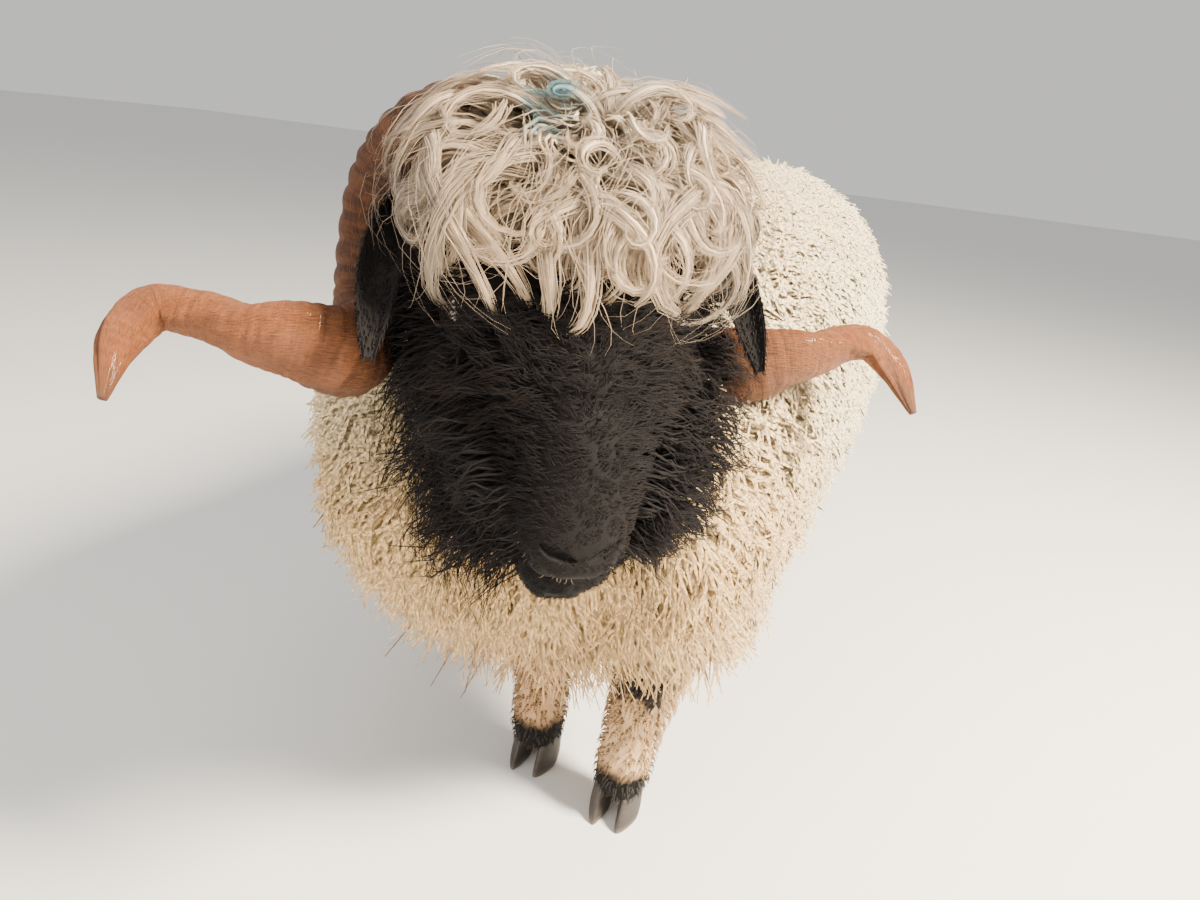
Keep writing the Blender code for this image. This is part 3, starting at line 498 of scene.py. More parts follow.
head_flesh = [tube_mesh(skull_tube, 90, 64), tube_mesh(jaw_tube, 50, 48)]
sockets, slots = [], []
for side in (1, -1):
    centre, out = eye_place(side)
    middle = centre + out * (EYE_RADIUS - EYE_STANDS - 0.004)
    long_way = (Vector((0.0, 1.0, 0.0)) - out * out.y).normalized()
    high_way = long_way.cross(out)
    high_way *= 1.0 if high_way.z > 0 else -1.0
    for reach, thickness, heavier, lift in LID_FOLDS:
        wide_way, tall_way = long_way * LID_WIDTH * reach, high_way * LID_HEIGHT * reach
        head_flesh.append(ring(middle + out * lift, wide_way, tall_way, out, thickness, heavier))
    for place, reach in LIPS if side > 0 else LIPS[:1]:
        lip = ball(1.0, 24, 16)
        bmesh.ops.scale(lip, vec=Vector(reach) - Vector((0.002, 0.002, 0.002)), verts=lip.verts)
        bmesh.ops.translate(lip, vec=mirrored(place, side), verts=lip.verts)
        head_flesh.append(lip)
    socket = ball(EYE_RADIUS + 0.0005, 32, 20)
    bmesh.ops.translate(socket, vec=centre, verts=socket.verts)
    sockets.append(socket)
    nostril = []
    for k in range(25):
        u, angle, radius = spline(NOSTRIL, 3 * k / 24)
        angle = math.radians(180 - angle if side > 0 else angle)
        nostril.append((skull_tube.point(u, angle), max(radius, 0.0015)))
    slots.append(swept([place for place, _ in nostril], [radius for _, radius in nostril]))
half = [spline(MOUTH, 5 * k / 20) for k in range(21)]
line = [skull_tube.point(u, math.radians(a)) for u, a in half]
line += [skull_tube.point(u, math.radians(180 - a)) for u, a in half[-2::-1]]
slots.append(swept(line, [MOUTH_CUT] * len(line)))
head = together("head_flesh", head_flesh)
modified(head, "REMESH", mode="VOXEL", voxel_size=HEAD_GRAIN)
modified(head, "SMOOTH", factor=0.5, iterations=5)

# ---------------------------------------------------------------------------------------------------------
# The ears: narrow leaves of gristle and skin, rolled at the root, cupped toward the face and folded along
# the rim. They grow from behind the horns, and are joined with the head and body as one hide.
EAR = (
    ((0.068, -0.034, -0.030), 0.011, 0.010),
    ((0.096, -0.040, -0.012), 0.013, 0.012),
    ((0.120, -0.058, 0.000), 0.015, 0.012),
    ((0.134, -0.092, 0.004), 0.015, 0.011),
    ((0.140, -0.132, 0.006), 0.012, 0.009),
    ((0.144, -0.166, 0.004), 0.004, 0.004),
)
LEAF_THICKNESS, RIM_HEIGHT = 0.0042, 0.0022


def ear_mesh(side):
    rows = [(*mirrored(centre, side), width, depth) for centre, width, depth in EAR]
    last = len(rows) - 1

    def shape(u, angle):
        x, y, z, width, depth = spline(rows, u)
        along = line_way(rows, u)
        toward = Vector((-side * 0.2, -0.35, 1.0))
        opens = (toward - along * along.dot(toward)).normalized()
        wide = along.cross(opens)
        cupped = min(max((u - 0.6) / 1.2, 0.0), 1.0)
        c, s = math.cos(angle), math.sin(angle)
        hollow = (1 - cupped) * -depth + cupped * max(depth - LEAF_THICKNESS, 0.0)
        rim = RIM_HEIGHT * cupped * math.exp(-((abs(c) - 0.86) ** 2) / 0.012)
        reach = depth + rim if s >= 0 else hollow - 2.2 * rim
        return Vector((x, y, z)) + wide * c * width * 0.96 - opens * abs(s) * reach

    return sleeve(shape, last, 60, 36)


ears = together("ears", [ear_mesh(1), ear_mesh(-1)])
for part in (head, ears):
    part.data.transform(head_turn)
for part in (hide, head, ears):
    modified(part, "TRIANGULATE")


def surface_of(obj):
    return BVHTree.FromObject(obj, bpy.context.evaluated_depsgraph_get())


def worked(other, operation):
    """The hide is joined with the other object or cut by it, which is then removed."""
    modified(hide, "BOOLEAN", operation=operation, object=other, solver="MANIFOLD")
    bpy.data.meshes.remove(other.data)


body_tree, head_tree, ear_tree = (surface_of(part) for part in (hide, head, ears))
for part in (head, ears):
    worked(part, "UNION")
for made in sockets + slots:
    made.transform(head_turn)
    bmesh.ops.triangulate(made, faces=made.faces)
    worked(item("cutter", made), "DIFFERENCE")
hide.data.transform(Matrix.Translation(SHIFT))
hide.data.shade_smooth()


# ---------------------------------------------------------------------------------------------------------
# The colours of skin and coat: cream on the body, black on head, ears, knees, hocks and feet, stained by the
# ground below, with painted warm sunlight on the chest and dirt with painted shade on the right foreleg. Wool and
# hide read the same functions, so that they carry the same markings.
KNEE_HEIGHT, HOCK_HEIGHT = 0.212, 0.262
PATCH_REACH = (0.036, 0.040, 0.034)
CHEST_SUNLIT_GOLD, SKIN_BLACK, SHADE_UNDER_LOCKS = (0.97, 0.61, 0.25), (0.009, 0.008, 0.008), (0.30, 0.23, 0.17)
HIDE_PALE, HIDE_DEEP, HIDE_STAIN = (0.90, 0.76, 0.53), (0.85, 0.68, 0.44), (0.50, 0.31, 0.17)


def black_patches(finish, where):
    """How black the coat is: the knees, the hocks and the feet, with ragged edges."""
    ragged = (finish.noise(where, 44.0, 3.0) - 0.5) * 1.9
    dark = None
    for kind, side in STRIDE:
        tube = leg_tube(kind, side)
        height = KNEE_HEIGHT if kind == "fore" else HOCK_HEIGHT
        u = min((tube.last * k / 200 for k in range(201)), key=lambda v: abs(tube.frame(v)[0].z - height))
        centre = tube.frame(u)[0] + SHIFT + Vector((0.0, -0.050 if kind == "fore" else 0.050, 0.0))
        patch = (finish.away(where, centre, PATCH_REACH) + ragged).between(1.0, 0.75)
        dark = patch if dark is None else dark.high(patch)
    return dark.high((finish.parts(where)["Z"] + ragged * 0.014).between(0.092, 0.070))


def cream(finish, where, pale, deep, stain):
    """The colour of the white coat: uneven, with painted warm sunlight on the chest, stained toward the feet, and
    darker on the right foreleg with dirt and painted shade.
    """
    patchy = finish.noise(where, 7.0, 3.0).between(0.35, 0.68)
    colour = finish.mix(patchy, pale, deep)
    parts = finish.parts(where)
    x, y, z = parts["X"], parts["Y"], parts["Z"]
    low = z.between(0.40, 0.10) * (0.35 + 0.9 * finish.noise(where, 16.0, 4.0))
    # painted light: the chest is tinted gold, as if lit by warm sun and bounce light
    chest = z.between(0.68, 0.42) * y.between(-0.12, -0.34) * 0.85
    # dirt and painted shade: the ram's right foreleg below the chest is stained darker
    right = x.between(-0.02, -0.07) * y.between(0.0, -0.1) * z.between(0.30, 0.22) * 0.6
    colour = finish.mix(chest, colour, CHEST_SUNLIT_GOLD)
    return finish.mix((low + right).low(1.0), colour, stain)


hide_finish = Finish("hide", 0.75, Specular_IOR_Level=0.08)
where = hide_finish.place()
black = hide_finish.attribute("face").high(black_patches(hide_finish, where))
coat_colour = cream(hide_finish, where, HIDE_PALE, HIDE_DEEP, HIDE_STAIN)
coat_colour = hide_finish.mix(black, coat_colour, SKIN_BLACK)
# painted shade: the hide under the forelock is coloured dull brown, like the shade in the gaps between the locks
crown = head_turn @ Vector((0.01, -0.015, 0.022)) + SHIFT
under_locks = hide_finish.away(where, crown, (0.100, 0.100, 0.100)).between(1.0, 0.85)
hide_finish.colour(hide_finish.mix(under_locks, coat_colour, SHADE_UNDER_LOCKS))
grain = hide_finish.noise(where, 900.0, 2.0) + hide_finish.noise(where, 220.0, 3.0) * 0.8
hide_finish.bump(grain, 0.0006, 0.7)
hide.data.materials.clear()
hide.data.materials.append(hide_finish.material)

bpy.context.view_layer.objects.active = hide
hide.select_set(True)
bpy.ops.object.mode_set(mode="EDIT")
bpy.ops.mesh.select_all(action="SELECT")
bpy.ops.uv.smart_project(angle_limit=1.15, island_margin=0.0)
bpy.ops.object.mode_set(mode="OBJECT")
hide.data.uv_layers[0].name = "OFBake"
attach(hide, "root")
SOFT = ["torso", "neck", "head", "tail", "ear_left", "ear_right"]
SOFT += [f"{kind}leg_{word}" for kind in ("fore", "hind") for word in ("left", "right")]
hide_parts(*SOFT)

# ---------------------------------------------------------------------------------------------------------
# Wool and hair: each tuft is a thin tapered bar of a few sides along its own line, rooted in the hide, and
# each coat is one joined mesh of them. Neighbours share the line of a staple, as greasy wool does.
MOST_TRIANGLES = 190000  # in one piece of the coat
MAP_PATCH = 0.003  # a tuft's width on the map
CRIMPS = 34.0  # how fast the wave runs along a tuft
ROOT_DEPTH = 0.004  # a tuft starts this far inside the hide
HEAD_END, TAIL_ROOT, TAIL_SIDE = 0.026, 0.530, 0.06  # where the wool of head and tail ends
HIND_WOOL_TOP, FORE_WOOL_TOP, MID_BODY = 0.375, 0.300, 0.15
COAT_BLACK = (0.018, 0.014, 0.012)


def read(rows, key, width=3, kind=np.float32):
    """One property of a mesh's points, faces or corners, as rows of numbers."""
    values = np.empty(len(rows) * width, kind)
    rows.foreach_get(key, values)
    return values.reshape(-1, width)


def marked(mesh, key, values):
    """Gives each vertex of the mesh a number, which a finish can read."""
    mesh.attributes.new(key, "FLOAT", "POINT").data.foreach_set("value", values.astype(np.float32))


hide.data.calc_loop_triangles()
spots, ways_out = (read(hide.data.vertices, key) for key in ("co", "normal"))
corners, loops = (read(hide.data.loop_triangles, key, 3, np.int32) for key in ("vertices", "loops"))
map_places = read(hide.data.uv_layers["OFBake"].data, "uv", 2)
first, second, third = (spots[corners[:, k]] for k in range(3))
areas = np.linalg.norm(np.cross(second - first, third - first), axis=1) / 2
hide_tree = surface_of(hide)


def unit(vectors):
    return vectors / np.maximum(np.linalg.norm(vectors, axis=-1, keepdims=True), 1e-9)


def strewn(spacing, seed, crowding=3.0):
    """Even random roots all over the hide: places, ways out and places on its map."""
    rng = np.random.default_rng(seed)
    picked = rng.choice(len(areas), int(crowding * areas.sum() / spacing**2), p=areas / areas.sum())
    a, b = rng.random((2, len(picked), 1)).astype(np.float32)
    flip = a + b > 1
    a, b = np.where(flip, 1 - a, a), np.where(flip, 1 - b, b)

    def blend(values):
        return values[:, 0] * (1 - a - b) + values[:, 1] * a + values[:, 2] * b

    places = blend(spots[corners[picked]])
    _, kept = np.unique(np.floor(places / spacing).astype(np.int64) @ (1, 4096, 4096**2), return_index=True)
    kept.sort()
    return places[kept], unit(blend(ways_out[corners[picked]]))[kept], blend(map_places[loops[picked]])[kept]


def distances(tree, places):
    return np.array([tree.find_nearest(Vector(p) - SHIFT)[3] for p in places])


to_head = np.array(head_turn.inverted() @ Matrix.Translation(-SHIFT))


def in_head_frame(places):
    return places @ to_head[:3, :3].T + to_head[:3, 3]


def head_way(vectors):
    """Directions in the head's frame, turned to the ram's."""
    return vectors @ np.array(head_turn.to_3x3()).T


def regions(places):
    """Which part of the ram each root is on: body, leg, tail, head or ear."""
    body, face, ear = (distances(tree, places) for tree in (body_tree, head_tree, ear_tree))
    own = places - np.array(SHIFT)
    label = np.where((face < body) & (in_head_frame(places)[:, 1] < HEAD_END), "head", "body")
    label = np.where((ear < face) & (ear < 0.001), "ear", label)
    level = np.where(own[:, 1] > MID_BODY, HIND_WOOL_TOP, FORE_WOOL_TOP)
    label = np.where((label == "body") & (own[:, 2] < level) & (own[:, 1] < TAIL_ROOT), "leg", label)
    return np.where((label == "body") & (own[:, 1] > TAIL_ROOT) & (abs(own[:, 0]) < TAIL_SIDE), "tail", label)


def rooted(region, spacing, seed):
    """The roots on one part of the ram, their ways out and their places on the map."""
    found = strewn(spacing, seed)
    on = regions(found[0]) == region
    return [values[on] for values in found]


marked(hide.data, "face", np.isin(regions(spots), ("head", "ear")))


def combed(roots, outs, lies, lengths, steps, rise, curl, turns, droop, seed):
    """The lines of tufts that stand off the hide, bend over along the lie, wave and hang."""
    rng = np.random.default_rng(seed)
    t = np.linspace(0, 1, steps + 1)[None, :, None]
    lies = unit(lies - outs * np.sum(lies * outs, axis=1, keepdims=True))
    sideways = np.cross(outs, lies)[:, None]
    length = np.asarray(lengths).reshape(-1, 1, 1)
    phase = rng.uniform(0, math.tau, (len(roots), 1, 1))
    angle = phase + rng.choice((-1.0, 1.0), (len(roots), 1, 1)) * math.tau * turns * t
    rise = np.asarray(rise).reshape(-1, 1, 1)
    lines = roots[:, None] + outs[:, None] * (rise * (1 - (1 - t) ** 2) * length)
    lines = lines + lies[:, None] * ((1 - rise) * length * t**1.6)
    lines = lines + (sideways * np.sin(angle) + outs[:, None] * 0.6 * np.cos(angle)) * (curl * length * t)
    lines[:, :, 2] -= (droop * length * t**2)[:, :, 0]
    lines[:, 0] -= outs * ROOT_DEPTH
    return lines


def gathered(lines, spacing, amount, seed):
    """Draws the lines together in staples, so that neighbours end in one tip."""
    rng = np.random.default_rng(seed)
    roots = lines[:, 0]
    _, chosen = np.unique(np.floor(roots / spacing + 0.37).astype(np.int64) @ (1, 4096, 4096**2), return_index=True)
    tree = KDTree(len(chosen))
    for k, index in enumerate(chosen):
        tree.insert(roots[index], k)
    tree.balance()
    leader = chosen[[tree.find(root)[1] for root in roots]]
    t = np.linspace(0, 1, lines.shape[1])[None, :, None]
    offset = (roots - roots[leader])[:, None] * 0.30
    pull = amount * rng.uniform(0.75, 1.0, (len(lines), 1, 1)) * t**0.9
    return lines * (1 - pull) + (lines[leader] + offset) * pull


def wool(name, lines, outs, widths, map_roots, finish, sides=3, flat=0.5, blunt=0.12, soft=0.0, cone=False):
    """One joined mesh of tapered bars along these lines, in pieces of less than 200,000 triangles."""
    count, steps = lines.shape[:2]
    most = MOST_TRIANGLES // (2 * sides * (steps - 1) + 2 * (sides - 2))
    rng = np.random.default_rng(len(name) * 977 + count)
    along = unit(np.gradient(lines, axis=1))
    outs = outs[:, None] if outs.ndim == 2 else outs
    across = unit(np.cross(along, outs + np.zeros_like(lines)))
    up = np.cross(across, along)
    t = np.linspace(0, 1, steps)
    taper = (0.60 + 0.40 * np.sin(np.pi * np.minimum(t * 1.5, 1.0))) * (1 - (1 - blunt) * t**2.2)
    taper = 1 - (1 - blunt) * t**1.35 if cone else taper
    turns = math.tau * np.arange(sides) / sides + math.pi / 2
    size = (np.asarray(widths).reshape(-1, 1) * taper[None] / 2)[:, :, None, None]
    rims = across[:, :, None] * np.cos(turns)[:, None] + up[:, :, None] * (np.sin(turns) * flat)[:, None]
    points = lines[:, :, None] + rims * size
    facing = unit(unit(rims) * (1 - soft) + (outs + 0.5 * t[None, :, None] * (0, 0, 1))[:, :, None] * soft)
    tints = rng.random(count)
    made = []
    each = steps * sides
    for part, start in enumerate(range(0, count, most)):
        some = slice(start, min(start + most, count))
        n = some.stop - start
        base = np.arange(n)[:, None, None] * each
        here = base + np.arange(steps - 1)[None, :, None] * sides
        j = np.arange(sides)[None, None]
        k = (j + 1) % sides
        quads = np.stack([here + j, here + sides + j, here + sides + k, here + k], axis=-1).reshape(-1, 4)
        ends = np.concatenate([base[:, 0] + j[0], base[:, 0] + (steps - 1) * sides + j[0, :, ::-1]])
        corner_list = np.concatenate([quads.ravel(), ends.ravel()]).astype(np.int32)
        sizes = np.concatenate([np.full(len(quads), 4), np.full(len(ends), sides)]).astype(np.int32)
        mesh = bpy.data.meshes.new(f"{name}_{part + 1}")
        mesh.vertices.add(n * each)
        mesh.vertices.foreach_set("co", points[some].astype(np.float32).ravel())
        mesh.loops.add(len(corner_list))
        mesh.loops.foreach_set("vertex_index", corner_list)
        mesh.polygons.add(len(sizes))
        mesh.polygons.foreach_set("loop_start", np.concatenate([[0], np.cumsum(sizes)[:-1]]).astype(np.int32))
        mesh.polygons.foreach_set("loop_total", sizes)
        mesh.update(calc_edges=True)
        mesh.shade_smooth()
        if soft:
            mesh.normals_split_custom_set_from_vertices(facing[some].reshape(-1, 3))
        strand, step, rim = corner_list // each, corner_list // sides % steps, corner_list % sides
        patch = np.stack([step / (steps - 1) - 0.5, rim / (sides - 1) - 0.5], axis=-1) * MAP_PATCH
        on_map = (map_roots[some][strand] + patch).astype(np.float32)
        mesh.uv_layers.new(name="OFBake").data.foreach_set("uv", on_map.ravel())
        every = np.arange(n * each)
        marked(mesh, "tip", every // sides % steps / (steps - 1))
        marked(mesh, "rim", every % sides / sides)
        marked(mesh, "tint", tints[some][every // each])
        mesh.materials.append(finish.material)
        obj = bpy.data.objects.new(mesh.name, mesh)
        bpy.context.scene.collection.objects.link(obj)
        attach(obj, "root")
        made.append(obj)
    return made


def strand_streaks(finish):
    """Fine fibres along each tuft, as a height and a tint."""
    rim, tip, tint = (finish.attribute(key) for key in ("rim", "tip", "tint"))
    return finish.noise(finish.vector(rim * 21.0, tip * 1.4, tint * 60.0), 1.0, 3.0, 0.6)


def wool_finish(name, pale, deep, stain, painted_root_shade, roughness=0.85, marks=True, crimps=0.0, streaky=0.80):
    """A finish for tufts: painted shade toward the root, each tuft a little different, and the coat's markings."""
    finish = Finish(name, roughness, Sheen_Weight=0.08, Sheen_Roughness=0.5, Specular_IOR_Level=0.3)
    where = finish.place()
    colour = cream(finish, where, pale, deep, stain)
    streaks, tip, tint = strand_streaks(finish), finish.attribute("tip"), finish.attribute("tint")
    beat = tip * CRIMPS + tint * 60.0 + streaks * 5.0
    crimp = finish.node("ShaderNodeMath", {"operation": "SINE"}, beat)["Value"] * crimps
    # painted shade: each tuft darkens toward its root, as if shaded by the coat around it; the tuft's own tone,
    # fibres and crimp wave then vary that colour
    shade = painted_root_shade + (1.0 - painted_root_shade) * tip.between(0.0, 0.75)
    depth = shade * (0.86 + 0.14 * tint + streaky * (streaks - 0.5) + 0.10 * crimp)
    grey = finish.node("ShaderNodeCombineColor", None, depth, depth, depth)["Color"]
    colour = finish.mix(1.0, colour, grey, "MULTIPLY")
    if marks:
        colour = finish.mix(black_patches(finish, where), colour, COAT_BLACK)
    finish.colour(colour)
    finish.bump(streaks + crimp * 0.6, 0.0014, 0.9)
    return finish


# ---------------------------------------------------------------------------------------------------------
# The fleece: cream wool in crimped staples as deep as a hand is thick, which grow all over the trunk and
# neck, lie back and down, and hang from the chest.
FLEECE_PALE, FLEECE_DEEP, FLEECE_STAIN = (0.99, 0.85, 0.56), (0.95, 0.73, 0.44), (0.62, 0.37, 0.18)
STAPLE_LENGTHS, STAPLE_WIDTHS = (0.040, 0.060), (0.0046, 0.0072)
CHEST_LONGER, BELLY_LONGER = 0.058, 0.012
fleece_finish = wool_finish("fleece", FLEECE_PALE, FLEECE_DEEP, FLEECE_STAIN, 0.86, crimps=0.8, streaky=0.50)
all_roots, all_outs, all_map_roots = strewn(0.0061, 21)
label = regions(all_roots)
on = label == "body"
roots, outs, map_roots = all_roots[on], all_outs[on], all_map_roots[on]
own = roots - np.array(SHIFT)
rng = np.random.default_rng(5)
down = np.stack([np.sign(own[:, 0] + 0.02) * 0.35, np.full(len(own), 0.35), np.full(len(own), -0.9)], axis=-1)
down += rng.normal(0, 0.50, down.shape)
hangs = np.clip((0.50 - own[:, 2]) / 0.15, 0, 1) * np.clip((-0.25 - own[:, 1]) / 0.08, 0, 1)
lengths = rng.uniform(*STAPLE_LENGTHS, len(own)) + CHEST_LONGER * hangs + BELLY_LONGER * (own[:, 2] < 0.36)
droop = (0.16 + 0.34 * hangs)[:, None, None]
lines = combed(roots, outs, down, lengths, 2, 0.62 - 0.2 * hangs, 0.24, 0.6, droop, 6)
lines = gathered(lines, 0.016, 0.45, 7)
widths = rng.uniform(*STAPLE_WIDTHS, len(own)) * (1 - 0.30 * hangs)
wool("fleece", lines, outs, widths, map_roots, fleece_finish, 3, 0.6, 0.28, 0.85, cone=True)

# ---------------------------------------------------------------------------------------------------------
# The wool of the tail: the same cream wool as the fleece's, in longer locks that hang straight down and keep
# clear of the thighs.
on = label == "tail"
roots, outs, map_roots = all_roots[on], all_outs[on], all_map_roots[on]
lies = np.tile((0.0, 0.15, -1.0), (len(roots), 1)) + rng.normal(0, 0.15, (len(roots), 3))
lines = combed(roots, outs, lies, rng.uniform(0.040, 0.058, len(roots)), 3, 0.34, 0.12, 1.0, 0.25, 8)
lines = gathered(lines, 0.02, 0.6, 9)
lines[:, :, 1] = np.maximum(lines[:, :, 1], roots[:, 1:2] - 0.03)
widths = rng.uniform(0.005, 0.008, len(roots))
wool("tail_wool", lines, outs, widths, map_roots, fleece_finish, soft=0.75)

# ---------------------------------------------------------------------------------------------------------
# The wool of the legs: shorter and stained by the ground, down to the pasterns, where it gives way to short
# black hair above the hooves.
LEG_PALE, LEG_DEEP, LEG_STAIN = (0.95, 0.70, 0.40), (0.80, 0.50, 0.24), (0.42, 0.23, 0.10)
leg_finish = wool_finish("leg_wool", LEG_PALE, LEG_DEEP, LEG_STAIN, 0.74, crimps=0.7)
roots, outs, map_roots = rooted("leg", 0.0078, 22)
low = np.clip((roots[:, 2] - 0.05) / 0.20, 0, 1)
lies = np.tile((0.0, 0.12, -1.0), (len(roots), 1)) + rng.normal(0, 0.40, (len(roots), 3))
lengths = (0.013 + 0.019 * low) * rng.uniform(0.8, 1.2, len(roots))
lines = combed(roots, outs, lies, lengths, 3, 0.30 + 0.1 * low, 0.10, 1.0, 0.15, 10)
lines = gathered(lines, 0.016, 0.55, 11)
lines[:, :, 2] = np.maximum(lines[:, :, 2], 0.030)
wool("leg_wool", lines, outs, 0.0030 + 0.0025 * low, map_roots, leg_finish, soft=0.7)

# ---------------------------------------------------------------------------------------------------------
# The black face: short hair that lies away from the nose and parts along the bridge, longer on the brow,
# and loose curls on the cheeks and under the jaw. A few whitish hairs stand on the upper lip.
FACE_BLACK, FACE_SHINE, FACE_BROWN = (0.0035, 0.0029, 0.0032), (0.013, 0.0102, 0.0108), (0.055, 0.032, 0.021)
FORELOCK_CENTRE = np.array((0.010, -0.050, 0.022))  # the oval of the forelock, in the head's frame
FORELOCK_REACH = np.array((0.140, 0.102, 0.080))
UNDER_FORELOCK = 0.012  # the face's hair reaches this far in under it
BARE_LIDS, CURLS_FROM_EYE = 0.0185, 0.030
face_finish = Finish("face_hair", 0.75, Sheen_Weight=0.02, Sheen_Roughness=0.5, Specular_IOR_Level=0.12)
streaks, tip, tint = strand_streaks(face_finish), face_finish.attribute("tip"), face_finish.attribute("tint")
brown = face_finish.noise(face_finish.place(), 22.0, 3.0).between(0.48, 0.72) * tip.between(0.45, 1.0)
colour = face_finish.mix(tint * 0.6 + streaks * 0.3, FACE_BLACK, FACE_SHINE)
face_finish.colour(face_finish.mix(brown * 0.38, colour, FACE_BROWN))
face_finish.bump(streaks, 0.0006, 0.7)


def from_eyes(places):
    """How far places in the head's frame are from the nearer eye."""
    return np.min([np.linalg.norm(places - np.array(eye_place(side)[0]), axis=1) for side in (1, -1)], axis=0)


roots, outs, map_roots = rooted("head", 0.0025, 23)
spot = in_head_frame(roots)
near_eye = from_eyes(spot)
jaw_way = np.clip((-0.045 - spot[:, 2]) / 0.045, 0, 1) * np.clip((spot[:, 1] + 0.305) / 0.05, 0, 1)
cheeks = (jaw_way > 0.45) | ((abs(spot[:, 0]) > 0.074) & (spot[:, 1] > -0.20))
bare = (near_eye < BARE_LIDS) | ((spot[:, 1] < -0.309) & (spot[:, 2] > -0.052)) | (spot[:, 1] > 0.035)
under_locks = np.linalg.norm((spot - FORELOCK_CENTRE) / (FORELOCK_REACH - UNDER_FORELOCK), axis=1) < 1.0
bridge = (abs(spot[:, 0]) < 0.045) | (spot[:, 1] < -0.22)
thinned = np.random.default_rng(30).random(len(spot)) > np.where(cheeks, 0.22, np.where(bridge, 1.0, 0.62))
on = ~bare & ~under_locks & ~thinned
some = spot[on]
aside = np.sign(some[:, 0]) * (0.30 + 3.0 * abs(some[:, 0]))
lies = head_way(np.stack([aside, np.full(len(some), 0.75), np.full(len(some), -0.55)], axis=-1))
lies = lies + np.random.default_rng(31).normal(0, 0.38, (len(some), 3))
ahead = np.clip((some[:, 1] + 0.300) / 0.17, 0, 1)
beside = np.clip((abs(some[:, 0]) - 0.020) / 0.035, 0, 1) * np.clip((some[:, 1] + 0.308) / 0.05, 0, 1)
rng = np.random.default_rng(32)
lengths = 0.005 + 0.023 * ahead + 0.022 * beside
lengths *= rng.uniform(0.7, 1.25, len(some)) * np.clip(near_eye[on] / 0.035, 0.35, 1.0)
lines = combed(roots[on], outs[on], lies, lengths, 3, 0.26 + 0.30 * beside, 0.20, 0.8, 0.14, 33)
lines = gathered(lines, 0.012, 0.70, 34)
widths = 0.0009 + 0.0006 * ahead
wool("face_hair", lines, outs[on], widths, map_roots[on], face_finish, blunt=0.1, soft=0.3)

roots, outs, map_roots = rooted("head", 0.0043, 24)
spot = in_head_frame(roots)
low = np.clip((-0.030 - spot[:, 2]) / 0.040, 0, 1)
wide = np.clip((abs(spot[:, 0]) - 0.062) / 0.02, 0, 1) * (spot[:, 1] > -0.235)
snout = np.clip((abs(spot[:, 0]) - 0.036) / 0.012, 0, 1) * (spot[:, 2] < -0.020) * 0.8
grown = np.maximum(np.maximum(low, wide), snout) * np.clip((spot[:, 1] + 0.296) / 0.05, 0, 1)
on = (grown > 0.25) & (spot[:, 1] < 0.035) & (from_eyes(spot) > CURLS_FROM_EYE)
some, grown = spot[on], grown[on]
lies = np.stack([np.sign(some[:, 0]) * 0.9, 0.10 - 0.5 * (some[:, 2] < -0.1), np.full(len(some), -0.6)], axis=-1)
lies = head_way(lies) + np.random.default_rng(35).normal(0, 0.35, (len(some), 3)) + (0, 0, -0.30)
rng = np.random.default_rng(36)
lengths = (0.020 + 0.052 * grown + 0.008 * (some[:, 0] > 0)) * rng.uniform(0.75, 1.3, len(some))
beard = (some[:, 2] < -0.085) * np.clip((0.02 - some[:, 0]) / 0.03, 0, 1) * (some[:, 1] < -0.10)
lengths = lengths * (1 + 0.5 * beard * rng.random(len(some)))
droop = (0.12 + 0.25 * beard)[:, None, None]
lines = combed(roots[on], outs[on], lies, lengths, 5, 0.58, 0.18 + 0.10 * beard[:, None, None], 1.0, droop, 37)
lines = gathered(lines, 0.016, 0.72, 38)
widths = rng.uniform(0.0018, 0.0032, len(some))
wool("cheek_curls", lines, outs[on], widths, map_roots[on], face_finish, soft=0.3)

LIP_PALE, LIP_DEEP, LIP_STAIN = (0.86, 0.82, 0.76), (0.70, 0.64, 0.57), (0.60, 0.54, 0.48)
pale_finish = wool_finish("pale_hair", LIP_PALE, LIP_DEEP, LIP_STAIN, 0.7, 0.7, marks=False)
rng = np.random.default_rng(39)
on = (abs(spot[:, 0]) < 0.046) & (spot[:, 1] < -0.262) & (abs(spot[:, 2] + 0.050) < 0.014)
on &= rng.random(len(spot)) < 0.30
lies = np.tile(head_way(np.array([0.0, -0.2, -1.0])), (on.sum(), 1)) + rng.normal(0, 0.4, (on.sum(), 3))
lines = combed(roots[on], outs[on], lies, rng.uniform(0.005, 0.010, on.sum()), 3, 0.3, 0.05, 0.5, 0.1, 40)
wool("lip_hairs", lines, outs[on], 0.0005, map_roots[on], pale_finish)

# ---------------------------------------------------------------------------------------------------------
# The hair of the ears: black on both faces, short and close toward the tips, and longer at the root. It lies
# along the leaf.
roots, outs, map_roots = rooted("ear", 0.0038, 25)
ear_spot = in_head_frame(roots)
tip_way = np.tile((0.0, -1.0, -0.1), (len(roots), 1))
tip_way[:, 0] = np.sign(ear_spot[:, 0]) * 0.15
rng = np.random.default_rng(41)
lies = head_way(tip_way) + rng.normal(0, 0.25, (len(roots), 3))
lengths = np.where(ear_spot[:, 1] > -0.060, 0.020, 0.007) * rng.uniform(0.8, 1.25, len(roots))
lines = combed(roots, outs, lies, lengths, 3, 0.22, 0.06, 0.6, 0.1, 42)
wool("ear_hair", lines, outs, 0.0018, map_roots, face_finish)

